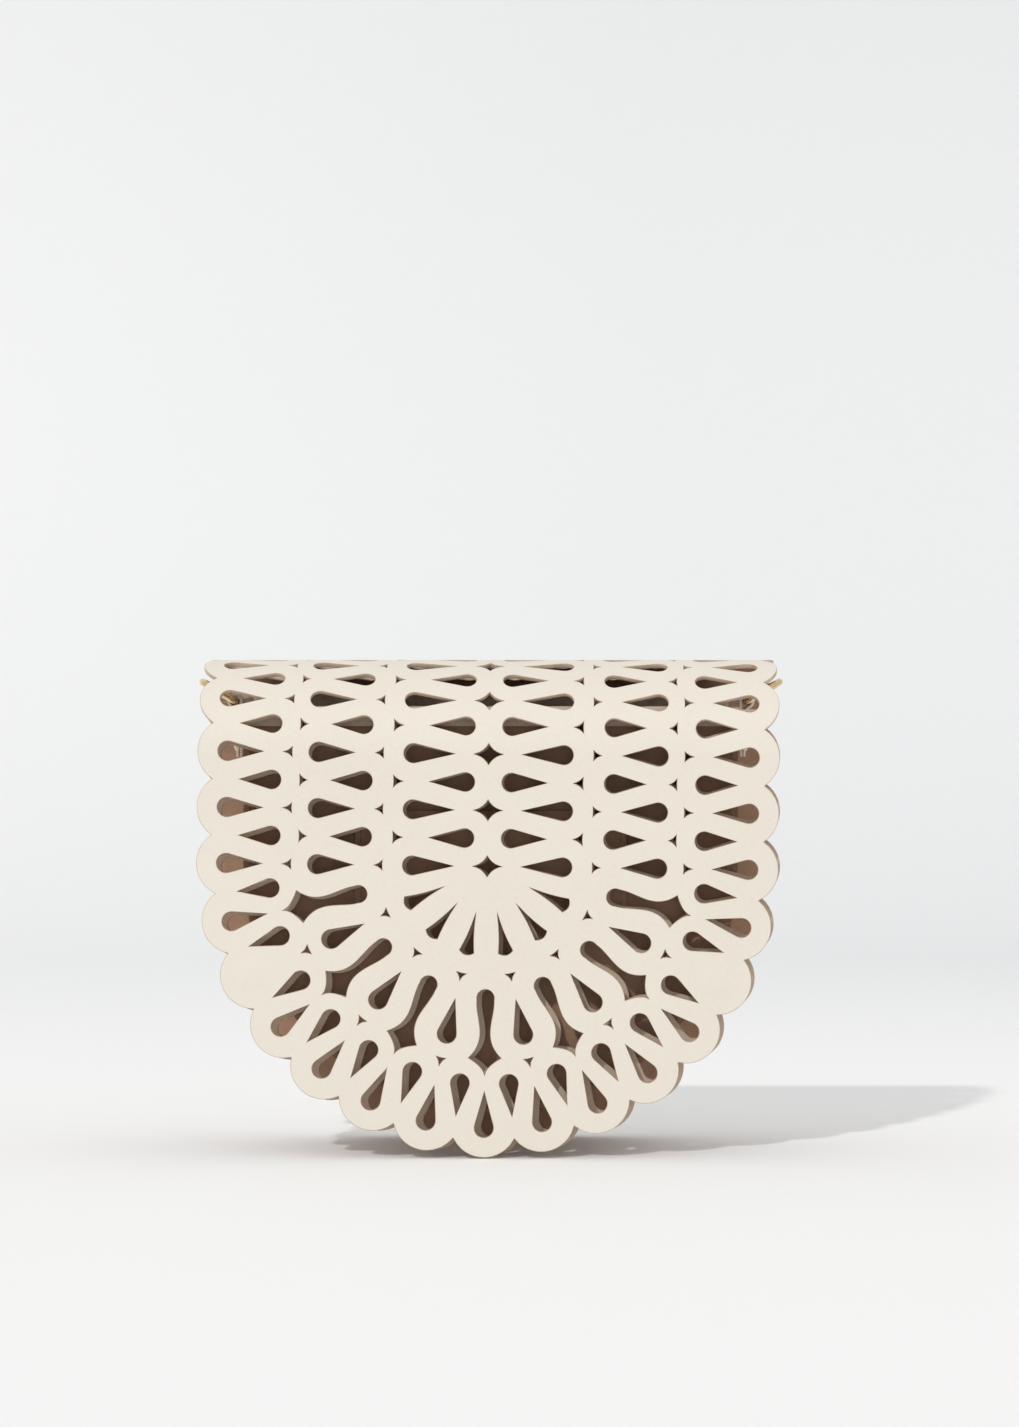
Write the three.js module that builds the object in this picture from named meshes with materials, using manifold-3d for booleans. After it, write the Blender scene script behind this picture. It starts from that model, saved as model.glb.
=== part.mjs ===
// A small flap bag in laser-cut leather: a back lace, a wrap that is sewn to its top edge and runs over a
// round top and down the front as a flap, a front lace behind the flap, and a smooth U-shaped pouch between.
// A thin brown backing is glued behind the back lace.
// Millimetres, +Z up, front towards -Y, origin under the middle of the bag on the surface it stands on.
import * as THREE from "three";
import { mergeGeometries, mergeVertices } from "three/addons/utils/BufferGeometryUtils.js";
import Module from "manifold-3d";

const wasm = await Module();
wasm.setup();

// Main sizes.
const PANEL_HALF_WIDTH = 103; // centre line to the outermost point of a scallop
const OVERALL_HEIGHT = 177;
const ROLL_RADIUS = 35; // outer face of the round top, half of the bag's depth
const MOUTH_DROP = 18; // top of the bag to the top edge of the pouch and of the front lace
const GAP = 0.3; // clearance between two pieces that touch on the real bag

// Leather thicknesses.
const LACE_PLY = 1.6;
const POUCH_PLY = 1.2;
const GUSSET_PLY = 1.4;
const POCKET_PLY = 1;
const BACKING_PLY = 0.8;
const BACKING_TRIM = 0.8; // how far the backing keeps inside the lace's scallops
const LINING_PLY = 0.5;
const BINDING_PLY = 0.8;
const STIFFENER_PLY = 0.7;

// The lace pattern: rows of teardrops on the straight, turning into a fan at each end.
const ROW_PITCH = 9.92;
const SCALLOP_RADIUS = 12;
const TEARDROP_RADIUS = 3.4;
const TEARDROP_LENGTH = 16.3;
const TEARDROP_BORDER = 7.2; // outline of the panel to the outer teardrops
const CENTRE_MOTIF_REACH = 30; // centre line to the round ends of the inner column
const ODD_TIP_SHIFT = 7.6; // odd rows' tips lie this far inside the even rows' round ends
const INNER_ODD_TIP_SHIFT = 9;
const ODD_TEARDROP_TRIM = 1.5; // how much shorter the odd rows' outer teardrops are
const INNER_TEARDROP_LENGTH = 18.3;
const DIAMOND_HALF_WIDTH = 5.1;
const DIAMOND_HALF_HEIGHT = 3.7;
const SLOT_HALF_WIDTH = 3;
const SLOT_END = 1.6; // length of the slot's blunt inner end
const SLOT_INNER_DROP = 20.3; // the middle column's round ends to the slot's inner end
const SLOT_NECK_TRIM = 0.4;
const STAR_HALF_WIDTH = 6;
const STAR_ARM = 10; // the star's side points back to the neck
const STAR_POINT = 6.6; // and out to its outer point
const STAR_SHIFT = 4.2; // the side points lie this far outside the middle column's round ends
const WEDGE_HALF_WIDTH = 2.6;
const WEDGE_INNER_DROP = 13.9;
const WEDGE_SHOULDER = 0.8;
const WEDGE_END = 2.6;
const NOTCH_DROP_START = 22.5; // the fan's teardrops between the scallops, from the outer column's round ends
const ROW_MARGIN = 0.4; // least leather above the last row of holes

// The folds of the wrap.
const BACK_FOLD_RISE = 2; // least height above the mouth's binding at which the wrap folds open at the back
const FOLD_GAP = 0.6;
const FLAP_LIFT = 0.4; // the flap hangs this far off the surface that the bag stands on

// The space between the layers.
const FRONT_CLEARANCE = 1.07; // at the mouth, from the round top to the front lace
const BACK_CLEARANCE = 0.87; // at the mouth, from the back lace to the binding
const POCKET_SPACE = 1.6; // between the front lace and the pouch, for the card pocket
const POUCH_INSET = 14.6; // scallop tips to the pouch's edge
const BINDING_DEPTH = 6;

// The card pocket on the front of the pouch.
const POCKET_WIDTH = 97;
const POCKET_HEIGHT = 60;
const POCKET_TOP_DROP = 36; // below the mouth
const POCKET_CORNER = 9;

// Magnet closures.
const MAGNET_RADIUS = 6;
const MAGNET_THICKNESS = 1.4;
const MAGNET_COVER_WALL = 1.2;
const MAGNET_COVER_BASE = 0.7;
const MAGNET_SETBACK = 0.34; // how far a magnet lies inside its cap's rim

// Strap rings, their tabs and rivets.
const RING_WIRE_RADIUS = 1.2;
const RING_HALF_WIDTH = 8.2; // to the centre of the wire
const RING_LEG = 6;
const RING_CORNER = 1.8;
const RING_LEAN_DEG = 30; // above the horizontal
const TAB_WIDTH = 13;
const TAB_PLY = 2.4;
const TAB_LENGTH = 20;
const TAB_EYE_WALL = 1.3;
const TAB_EYE_DIP = 1; // how far the eye's underside lies below the top of the binding
const RIVET_RADIUS = 1.3;
const RIVET_HEAD_RADIUS = 3.2;
const RIVET_HEAD_FLAT = 2.24; // radius of the head's flat top
const RIVET_HEAD_HEIGHT = 1.1;
const RIVET_DROP = 12; // below the mouth

const ROUND_STEPS = 16; // facets round the small round parts
const STRIP_STEPS = 4; // corners along the edge for each row
const SCALLOP_STEPS = 4; // corners along the edge for each scallop of the fan
const EYE_STEPS = 8; // corners round half of a tab's eye
const EYE_START_STEP = -3; // where the eye leaves the tab's outer ply
const RING_STEPS = 6; // corners for each round of a strap ring
const CURVE_STEPS = 6; // corners round a drawn curve of a flat piece
const EYE_HOLE_STEPS = 4;
const CORNER_TOLERANCE = 1e-4; // corners of one piece nearer than this are the same corner
const SEAM_TOLERANCE = 1e-3; // and of two strips on their shared fold line
const POUCH_STEPS = 26; // facets round the pouch's U

// Worked out from the sizes above.
const scallopCentre = PANEL_HALF_WIDTH - SCALLOP_RADIUS;
const fanCentreZ = PANEL_HALF_WIDTH;
// Scallops round the fan. Half of them is an odd number, so that the rows carry on the fan's pattern.
const fanSteps = 4 * Math.round((Math.PI * scallopCentre / (2 * ROW_PITCH) - 2) / 4) + 2;
const fanAngle = Math.PI / fanSteps; // one scallop of the fan
const closureStep = fanSteps / 2 - 2; // the solid scallops that hold the magnets
const rollInner = ROLL_RADIUS - LACE_PLY;
const rollMiddle = ROLL_RADIUS - LACE_PLY / 2;
const rollCentreZ = OVERALL_HEIGHT - ROLL_RADIUS;
const backStraight = rollCentreZ - fanCentreZ; // straight lace from the back's fan centre to the round top
const flapStraight = backStraight - FLAP_LIFT;
const halfRow = (height) => Math.floor(height / ROW_PITCH - 0.5) + 0.5; // last line between rows up to there
const frontFoldRow = halfRow(flapStraight); // rows above the flap's fan centre at which the flap folds
const backFlatRow = halfRow(backStraight);
const mouthHeight = OVERALL_HEIGHT - MOUTH_DROP;
const bindingTop = mouthHeight + GAP + BINDING_PLY;
const bindingRise = Math.max(bindingTop - rollCentreZ, 0);
const lowestFold = Math.PI - Math.asin((bindingRise + BACK_FOLD_RISE) / rollMiddle); // angle round the top
const backFoldRow = halfRow(flapStraight + rollMiddle * lowestFold);
const foldTurn = (backFoldRow * ROW_PITCH - flapStraight) / rollMiddle; // angle round the top to the fold
const outerReach = PANEL_HALF_WIDTH - TEARDROP_BORDER;
const columnPitch = (outerReach - CENTRE_MOTIF_REACH) / 2;
const columnReaches = [outerReach, outerReach - columnPitch, CENTRE_MOTIF_REACH];

const bindingReach = GAP + BINDING_PLY;
// Half of the space inside the round top at the level of the binding, where the layers come closest to it.
const mouthReach = Math.sqrt(rollInner ** 2 - bindingRise ** 2);
const flapInnerY = -rollInner;
// The magnets and their caps need this much space behind the flap. The round top may need more at the mouth.
const leastCoverHeight = MAGNET_COVER_BASE + GAP + MAGNET_THICKNESS + MAGNET_SETBACK;
const closureSpace = 2 * leastCoverHeight + 3 * GAP;
const frontLaceY = Math.max(flapInnerY + closureSpace, FRONT_CLEARANCE - mouthReach);
const frontLaceInnerY = frontLaceY + LACE_PLY;
const pouchFrontY = frontLaceInnerY + POCKET_SPACE;
const pouchBackY = mouthReach - BACK_CLEARANCE - bindingReach;
const gussetFrontY = pouchFrontY + POUCH_PLY + GAP;
const gussetBackY = pouchBackY - POUCH_PLY - GAP;
const liningFrontY = gussetFrontY + LINING_PLY;
const liningBackY = gussetBackY - LINING_PLY;
const pouchRadius = PANEL_HALF_WIDTH - POUCH_INSET;
const stiffenerRadius = pouchRadius - GUSSET_PLY - GAP;
const liningRadius = stiffenerRadius - STIFFENER_PLY - GAP;
const ringY = (gussetFrontY + gussetBackY) / 2;

const leather = (color) => new THREE.MeshStandardMaterial({ color, roughness: 0.62, metalness: 0 });
const metal = (color) => new THREE.MeshStandardMaterial({ color, roughness: 0.3, metalness: 1 });
const IVORY = 0xeee8dc;
const TAN = 0xa5876c;
const BROWN = 0x7b5d48;
const GOLD = 0xc9a25e;
const STEEL = 0x8d8f92;

const bag = new THREE.Group();

function addMesh(name, geometry, material) {
  const mesh = new THREE.Mesh(geometry, material);
  mesh.name = name;
  bag.add(mesh);
  return mesh;
}

// A flat piece drawn in (x, z), from frontY back to frontY + thickness.
function addPlate(name, shape, frontY, thickness, material) {
  const options = { depth: thickness, bevelEnabled: false, curveSegments: CURVE_STEPS };
  const mesh = addMesh(name, new THREE.ExtrudeGeometry(shape, options), material);
  mesh.rotation.x = Math.PI / 2;
  mesh.position.y = frontY + thickness;
  return mesh;
}

function bareGeometry(geometry) {
  const bare = geometry.clone();
  bare.deleteAttribute("normal");
  bare.deleteAttribute("uv");
  return mergeVertices(bare, CORNER_TOLERANCE);
}

function toSolid(geometry) {
  const merged = bareGeometry(geometry);
  const vertProperties = new Float32Array(merged.attributes.position.array);
  const triVerts = new Uint32Array(merged.index.array);
  return new wasm.Manifold(new wasm.Mesh({ numProp: 3, vertProperties, triVerts }));
}

function toGeometry(solid) {
  const mesh = solid.getMesh();
  const geometry = new THREE.BufferGeometry();
  geometry.setAttribute("position", new THREE.Float32BufferAttribute(mesh.vertProperties, 3));
  geometry.setIndex(Array.from(mesh.triVerts));
  return geometry;
}

// A flat blank of a given depth, with holes cut right through it.
function cutSheet(outline, holes, depth) {
  const blank = new THREE.ExtrudeGeometry(new THREE.Shape(outline), { depth, bevelEnabled: false });
  if (holes.length === 0) {
    return bareGeometry(blank);
  }
  const prisms = holes.map((points) => {
    const options = { depth: 3 * depth, bevelEnabled: false };
    return new THREE.ExtrudeGeometry(new THREE.Shape(points), options).translate(0, 0, -depth);
  });
  return toGeometry(toSolid(blank).subtract(toSolid(mergeGeometries(prisms))));
}

// ---- The lace pattern, drawn with the fan centre at (0, 0) ----

// Half-width of the scalloped edge at a height v above the fan centre.
function straightEdge(v) {
  const pitch = 2 * ROW_PITCH;
  const offset = v - pitch * Math.round(v / pitch);
  return scallopCentre + Math.sqrt(SCALLOP_RADIUS ** 2 - offset ** 2);
}

// Distance from the fan centre to the scalloped edge, at a number of scallops from straight down.
function fanEdge(step) {
  const angle = (step - Math.round(step)) * fanAngle;
  const across = scallopCentre * Math.sin(angle);
  return scallopCentre * Math.cos(angle) + Math.sqrt(SCALLOP_RADIUS ** 2 - across ** 2);
}

// A point of the fan at a distance from its centre, a number of scallops from straight down.
function fanPoint(reach, step, across = 0) {
  const angle = step * fanAngle;
  const x = reach * Math.sin(angle) + across * Math.cos(angle);
  const z = -reach * Math.cos(angle) + across * Math.sin(angle);
  return new THREE.Vector2(x, z);
}

// A teardrop between its round end and its tip, with a round of four corners.
function teardrop(roundEnd, tip) {
  const axis = tip.clone().sub(roundEnd).normalize();
  const centre = roundEnd.clone().addScaledVector(axis, TEARDROP_RADIUS);
  const tangent = Math.acos(TEARDROP_RADIUS / centre.distanceTo(tip));
  const points = [tip];
  for (let corner = 0; corner < 4; corner += 1) {
    const angle = tangent + (2 * Math.PI - 2 * tangent) * corner / 3;
    const arm = axis.clone().rotateAround(new THREE.Vector2(), angle);
    points.push(centre.clone().addScaledVector(arm, TEARDROP_RADIUS));
  }
  return points;
}

// The holes of one row, at height v: even rows point inwards from the scallops, odd rows outwards.
function rowHoles(row, v) {
  const even = row % 2 === 0;
  const holes = [];
  for (const side of [-1, 1]) {
    columnReaches.forEach((reach, column) => {
      const inner = column === 2;
      const length = inner && even ? INNER_TEARDROP_LENGTH : TEARDROP_LENGTH;
      const shift = inner ? INNER_ODD_TIP_SHIFT : ODD_TIP_SHIFT;
      const trim = inner ? 0 : ODD_TEARDROP_TRIM;
      const roundEnd = even ? reach : reach - shift - length + trim;
      const tip = even ? reach - length : reach - shift;
      holes.push(teardrop(new THREE.Vector2(side * roundEnd, v), new THREE.Vector2(side * tip, v)));
    });
  }
  if (even) {
    holes.push([
      new THREE.Vector2(DIAMOND_HALF_WIDTH, v),
      new THREE.Vector2(0, v + DIAMOND_HALF_HEIGHT),
      new THREE.Vector2(-DIAMOND_HALF_WIDTH, v),
      new THREE.Vector2(0, v - DIAMOND_HALF_HEIGHT),
    ]);
  }
  return holes;
}

// A long slot of the fan: a round inner end, a neck, and a star whose point faces the scallops.
function starSlot(step) {
  const starReach = columnReaches[1] + STAR_SHIFT;
  const innerEnd = columnReaches[1] - SLOT_INNER_DROP;
  const outline = [
    [innerEnd, 0],
    [innerEnd + SLOT_END, SLOT_HALF_WIDTH],
    [starReach - STAR_ARM, SLOT_HALF_WIDTH - SLOT_NECK_TRIM],
    [starReach, STAR_HALF_WIDTH],
    [starReach + STAR_POINT, 0],
    [starReach, -STAR_HALF_WIDTH],
    [starReach - STAR_ARM, SLOT_NECK_TRIM - SLOT_HALF_WIDTH],
    [innerEnd + SLOT_END, -SLOT_HALF_WIDTH],
  ];
  return outline.map(([reach, across]) => fanPoint(reach, step, across));
}

// A wedge of the fan, pointed at the centre and blunt at its outer end.
function wedge(step) {
  const outline = [
    [CENTRE_MOTIF_REACH - WEDGE_INNER_DROP, 0],
    [CENTRE_MOTIF_REACH + WEDGE_SHOULDER, WEDGE_HALF_WIDTH],
    [CENTRE_MOTIF_REACH + WEDGE_END, 0],
    [CENTRE_MOTIF_REACH + WEDGE_SHOULDER, -WEDGE_HALF_WIDTH],
  ];
  return outline.map(([reach, across]) => fanPoint(reach, step, across));
}

function fanTeardrop(roundReach, tipReach, step) {
  return teardrop(fanPoint(roundReach, step), fanPoint(tipReach, step));
}

function fanHoles() {
  const holes = [];
  const last = fanSteps / 2;
  for (let step = 1 - last; step < last; step += 1) {
    if (Math.abs(step) !== closureStep) {
      holes.push(fanTeardrop(outerReach, outerReach - TEARDROP_LENGTH, step));
    }
    if (step % 2 === 0) {
      holes.push(starSlot(step));
    } else {
      holes.push(fanTeardrop(columnReaches[1], columnReaches[1] - TEARDROP_LENGTH, step));
      holes.push(wedge(step));
    }
  }
  for (let step = 0.5 - last; step < last; step += 1) {
    holes.push(fanTeardrop(outerReach - NOTCH_DROP_START, outerReach - ODD_TIP_SHIFT, step));
  }
  return holes;
}

// The scalloped edge of a panel: the fan, and straight sides up to a height above the fan centre, with the
// scallops trimmed back by a little or not at all.
function panelEdge(top, trim) {
  const edge = [];
  const straightSteps = Math.ceil(STRIP_STEPS * top / ROW_PITCH);
  for (let i = straightSteps; i > 0; i -= 1) {
    const v = top * i / straightSteps;
    edge.push(new THREE.Vector2(straightEdge(v) - trim, v));
  }
  for (let step = fanSteps / 2; step >= -fanSteps / 2; step -= 1 / SCALLOP_STEPS) {
    edge.push(fanPoint(fanEdge(step) - trim, step));
  }
  for (let i = 1; i <= straightSteps; i += 1) {
    const v = top * i / straightSteps;
    edge.push(new THREE.Vector2(trim - straightEdge(v), v));
  }
  return edge;
}

// A lace panel: the holes of the fan, and of the rows up to a height above the fan centre.
function lacePanel(top) {
  const holes = fanHoles();
  for (let row = 0; row * ROW_PITCH + TEARDROP_RADIUS < top - ROW_MARGIN; row += 1) {
    holes.push(...rowHoles(row, row * ROW_PITCH));
  }
  return cutSheet(panelEdge(top, 0), holes, LACE_PLY);
}

// A lace panel standing up, its outer or front face at frontY and its fan centre at a height.
function addLacePanel(name, top, frontY, fanZ) {
  const mesh = addMesh(name, lacePanel(top), leather(IVORY));
  mesh.rotation.x = Math.PI / 2;
  mesh.position.set(0, frontY + LACE_PLY, fanZ);
}

// ---- The wrap: back lace, round top and flap ----

// A point of lace that runs up the front and over the round top, in (y, z): s along the lace from its fan
// centre, w outwards from the inner face, and straight, the height at which it starts to turn.
function wrapPoint(s, w, straight) {
  const turn = Math.max(s - straight, 0) / rollMiddle;
  const radius = rollInner + w;
  const below = Math.min(s - straight, 0);
  return [-radius * Math.cos(turn), rollCentreZ + radius * Math.sin(turn) + below];
}

// A flat strip folded on to its place, without the walls on the fold lines that it shares with others.
function bendStrip(flat, low, high, sharedLow, sharedHigh, bend) {
  const position = flat.toNonIndexed().attributes.position;
  const isAt = (height, line) => Math.abs(height - line) < CORNER_TOLERANCE;
  const onLine = (height) => (isAt(height, low) ? low : isAt(height, high) ? high : height);
  const kept = [];
  for (let i = 0; i < position.count; i += 3) {
    const corners = [i, i + 1, i + 2];
    const onLow = corners.every((c) => isAt(position.getY(c), low));
    const onHigh = corners.every((c) => isAt(position.getY(c), high));
    if ((onLow && sharedLow) || (onHigh && sharedHigh)) {
      continue;
    }
    for (const c of corners) {
      kept.push(...bend(position.getX(c), onLine(position.getY(c)), position.getZ(c)));
    }
  }
  const bent = new THREE.BufferGeometry();
  bent.setAttribute("position", new THREE.Float32BufferAttribute(kept, 3));
  return bent;
}

// A flat blank folded on to one facet of the round top, between two heights and a distance off the lace.
function bendFacet(flat, low, high, sharedLow, sharedHigh, straight, lift) {
  const facet = (x, s, w) => {
    const part = (s - low) / (high - low);
    const from = wrapPoint(low, w + lift, straight);
    const to = wrapPoint(high, w + lift, straight);
    return [x, THREE.MathUtils.lerp(from[0], to[0], part), THREE.MathUtils.lerp(from[1], to[1], part)];
  };
  return bendStrip(flat, low, high, sharedLow, sharedHigh, facet);
}

// The two scalloped sides of a strip between two heights.
function stripEdge(low, high, trim) {
  const heights = Array.from({ length: STRIP_STEPS + 1 }, (_, i) => low + (high - low) * i / STRIP_STEPS);
  const right = heights.map((v) => new THREE.Vector2(straightEdge(v) - trim, v));
  const left = heights.toReversed().map((v) => new THREE.Vector2(trim - straightEdge(v), v));
  return [...right, ...left];
}

// A strip of lace between two heights, with one row of holes or none.
function laceStrip(row, low, high, sharedLow, sharedHigh, straight) {
  const holes = row === null ? [] : rowHoles(row, row * ROW_PITCH);
  const flat = cutSheet(stripEdge(low, high, 0), holes, LACE_PLY);
  return bendFacet(flat, low, high, sharedLow, sharedHigh, straight, 0);
}

function joinStrips(strips) {
  return mergeVertices(mergeGeometries(strips), SEAM_TOLERANCE);
}

// The round top of the wrap, one strip for each row between the front and the back fold.
function rollLace() {
  const strips = [];
  for (let row = frontFoldRow + 0.5; row < backFoldRow; row += 1) {
    const first = row - 0.5 === frontFoldRow;
    const last = row + 0.5 === backFoldRow;
    const low = (row - 0.5) * ROW_PITCH + (first ? FOLD_GAP / 2 : 0);
    const high = (row + 0.5) * ROW_PITCH - (last ? FOLD_GAP / 2 : 0);
    strips.push(laceStrip(row, low, high, !first, !last, flapStraight));
  }
  return joinStrips(strips);
}

// The back lace: a flat panel, and strips above it that lean forwards round the top to the back fold, with a
// plain band for the seam where another row of holes doesn't fit.
function backLace() {
  const top = backStraight + (Math.PI - foldTurn) * rollMiddle - FOLD_GAP / 2;
  const flatTop = backFlatRow * ROW_PITCH;
  const stand = (x, v, w) => [x, -rollInner - w, fanCentreZ + v];
  const strips = [bendStrip(lacePanel(flatTop), 0, flatTop, false, true, stand)];
  let low = flatTop;
  for (let row = backFlatRow + 0.5; row * ROW_PITCH + TEARDROP_RADIUS + ROW_MARGIN < top; row += 1) {
    const line = (row + 0.5) * ROW_PITCH;
    const high = line + ROW_MARGIN < top ? line : top;
    strips.push(laceStrip(row, low, high, true, high < top, backStraight));
    low = high;
  }
  if (low < top) {
    strips.push(laceStrip(null, low, top, true, false, backStraight));
  }
  return joinStrips(strips);
}

// A brown backing glued behind the back lace closes its holes. It stops between two rows, below the mouth.
function backBacking() {
  const lift = -GAP - BACKING_PLY;
  const topRow = halfRow(mouthHeight - fanCentreZ - ROW_MARGIN);
  const flatRow = Math.min(backFlatRow, topRow);
  const flatTop = flatRow * ROW_PITCH;
  const stand = (x, v, w) => [x, -rollInner - w - lift, fanCentreZ + v];
  const panel = cutSheet(panelEdge(flatTop, BACKING_TRIM), [], BACKING_PLY);
  const strips = [bendStrip(panel, 0, flatTop, false, flatRow < topRow, stand)];
  for (let row = flatRow + 0.5; row < topRow; row += 1) {
    const low = (row - 0.5) * ROW_PITCH;
    const high = (row + 0.5) * ROW_PITCH;
    const flat = cutSheet(stripEdge(low, high, BACKING_TRIM), [], BACKING_PLY);
    strips.push(bendFacet(flat, low, high, true, row + 0.5 < topRow, backStraight, lift));
  }
  return joinStrips(strips);
}

addMesh("back_lace", backLace(), leather(IVORY)).rotation.z = Math.PI;
addMesh("back_backing", backBacking(), leather(BROWN)).rotation.z = Math.PI;
addMesh("roll_lace", rollLace(), leather(IVORY));
addLacePanel("flap_lace", frontFoldRow * ROW_PITCH - FOLD_GAP / 2, -ROLL_RADIUS, fanCentreZ + FLAP_LIFT);
addLacePanel("front_lace", mouthHeight - fanCentreZ, frontLaceY, fanCentreZ);

// ---- The pouch ----

// A U: straight sides from the mouth down to the fan centre, then half a circle.
function uOutline(radius, mouth = mouthHeight) {
  const points = [new THREE.Vector2(radius, mouth)];
  for (let i = 0; i <= POUCH_STEPS; i += 1) {
    const angle = Math.PI * i / POUCH_STEPS;
    points.push(new THREE.Vector2(radius * Math.cos(angle), fanCentreZ - radius * Math.sin(angle)));
  }
  points.push(new THREE.Vector2(-radius, mouth));
  return points;
}

// A strip bent round the U, outer face at a radius.
function uStrip(radius, ply) {
  return new THREE.Shape([...uOutline(radius), ...uOutline(radius - ply).reverse()]);
}

// Rivets run through the tabs, the gusset and the lining on the bag's mid-plane.
const rivetZ = mouthHeight - RIVET_DROP;
const tabInnerX = pouchRadius + 2 * GAP + BINDING_PLY;
const tabOuterX = tabInnerX + TAB_PLY;
const rivetInnerX = liningRadius - LINING_PLY;

function rivetHoleDrill() {
  const length = 4 * PANEL_HALF_WIDTH;
  const drill = new THREE.CylinderGeometry(RIVET_RADIUS + GAP, RIVET_RADIUS + GAP, length, ROUND_STEPS);
  drill.rotateZ(Math.PI / 2);
  drill.translate(0, ringY, rivetZ);
  return toSolid(drill);
}

// A piece drawn in (x, z) with the rivets' holes drilled through it along X.
function addDrilled(name, shape, frontY, thickness, material) {
  const options = { depth: thickness, bevelEnabled: false, curveSegments: EYE_HOLE_STEPS };
  const blank = new THREE.ExtrudeGeometry(shape, options);
  blank.rotateX(Math.PI / 2);
  blank.translate(0, frontY + thickness, 0);
  addMesh(name, toGeometry(toSolid(blank).subtract(rivetHoleDrill())), material);
}

const pouchShape = new THREE.Shape(uOutline(pouchRadius));
addPlate("pouch_front", pouchShape, pouchFrontY, POUCH_PLY, leather(BROWN));
addPlate("pouch_back", pouchShape, pouchBackY - POUCH_PLY, POUCH_PLY, leather(BROWN));
addDrilled("pouch_gusset", uStrip(pouchRadius, GUSSET_PLY), gussetFrontY, gussetBackY - gussetFrontY,
  leather(BROWN));

// The lining: two panels and a strip, inside the gusset.
addPlate("lining_front", new THREE.Shape(uOutline(liningRadius)), gussetFrontY, LINING_PLY, leather(TAN));
addPlate("lining_back", new THREE.Shape(uOutline(liningRadius)), liningBackY, LINING_PLY, leather(TAN));
addDrilled("lining_gusset", uStrip(liningRadius, LINING_PLY), liningFrontY + GAP,
  liningBackY - liningFrontY - 2 * GAP, leather(TAN));

// A thin board between the gusset and its lining keeps the round bottom in shape, short of the sides.
const boardStart = Math.PI / 12;
const boardSpan = Math.PI - 2 * boardStart;
function stiffenerShape() {
  const points = [];
  for (const radius of [stiffenerRadius, stiffenerRadius - STIFFENER_PLY]) {
    const arc = [];
    for (let i = 0; i <= POUCH_STEPS; i += 1) {
      const angle = boardStart + boardSpan * i / POUCH_STEPS;
      arc.push(new THREE.Vector2(radius * Math.cos(angle), fanCentreZ - radius * Math.sin(angle)));
    }
    points.push(...(radius === stiffenerRadius ? arc : arc.reverse()));
  }
  return new THREE.Shape(points);
}
addPlate("gusset_stiffener", stiffenerShape(), gussetFrontY + GAP, gussetBackY - gussetFrontY - 2 * GAP,
  leather(TAN));

// A binding is a folded strip over the mouth's edge: a channel open at the bottom.
function bindingShape(from, to) {
  const bottom = mouthHeight - BINDING_DEPTH;
  const under = bindingTop - BINDING_PLY;
  const outline = [
    [from, bottom], [from + BINDING_PLY, bottom], [from + BINDING_PLY, under], [to - BINDING_PLY, under],
    [to - BINDING_PLY, bottom], [to, bottom], [to, bindingTop], [from, bindingTop],
  ];
  return new THREE.Shape(outline.map(([across, z]) => new THREE.Vector2(across, z)));
}

const sideBindingFrontY = liningFrontY + bindingReach + GAP;
const sideBindingBackY = liningBackY - bindingReach - GAP;
const endBindingHalf = liningRadius - LINING_PLY - GAP;

function addEndBinding(name, from, to) {
  const depth = 2 * endBindingHalf;
  const geometry = new THREE.ExtrudeGeometry(bindingShape(from, to), { depth, bevelEnabled: false });
  const alongX = new THREE.Matrix4().set(0, 0, 1, 0, 1, 0, 0, 0, 0, 1, 0, 0, 0, 0, 0, 1);
  geometry.applyMatrix4(alongX);
  addMesh(name, geometry, leather(IVORY)).position.x = -endBindingHalf;
}

function addSideBinding(name, side) {
  const inner = side * (liningRadius - LINING_PLY - bindingReach);
  const outer = side * (pouchRadius + bindingReach);
  const shape = bindingShape(Math.min(inner, outer), Math.max(inner, outer));
  addPlate(name, shape, sideBindingFrontY, sideBindingBackY - sideBindingFrontY, leather(IVORY));
}

addEndBinding("binding_front", pouchFrontY - bindingReach, liningFrontY + bindingReach);
addEndBinding("binding_back", liningBackY - bindingReach, pouchBackY + bindingReach);
addSideBinding("binding_left", -1);
addSideBinding("binding_right", 1);

// The card pocket: a patch with round lower corners, sewn to the front of the pouch.
function pocketShape() {
  const half = POCKET_WIDTH / 2;
  const top = mouthHeight - POCKET_TOP_DROP;
  const bottom = top - POCKET_HEIGHT;
  const shape = new THREE.Shape();
  shape.moveTo(-half, top);
  shape.lineTo(-half, bottom + POCKET_CORNER);
  shape.absarc(POCKET_CORNER - half, bottom + POCKET_CORNER, POCKET_CORNER, Math.PI, 1.5 * Math.PI);
  shape.absarc(half - POCKET_CORNER, bottom + POCKET_CORNER, POCKET_CORNER, 1.5 * Math.PI, 2 * Math.PI);
  shape.lineTo(half, top);
  return shape;
}
addPlate("card_pocket", pocketShape(), pouchFrontY - GAP - POCKET_PLY, POCKET_PLY, leather(BROWN));

// ---- Magnet closures in the solid scallops ----

// A leather cap with a magnet under it, its open side towards +Y.
const coverRadius = MAGNET_RADIUS + GAP + MAGNET_COVER_WALL;
const coverHeight = (frontLaceY - flapInnerY - 3 * GAP) / 2;

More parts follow.
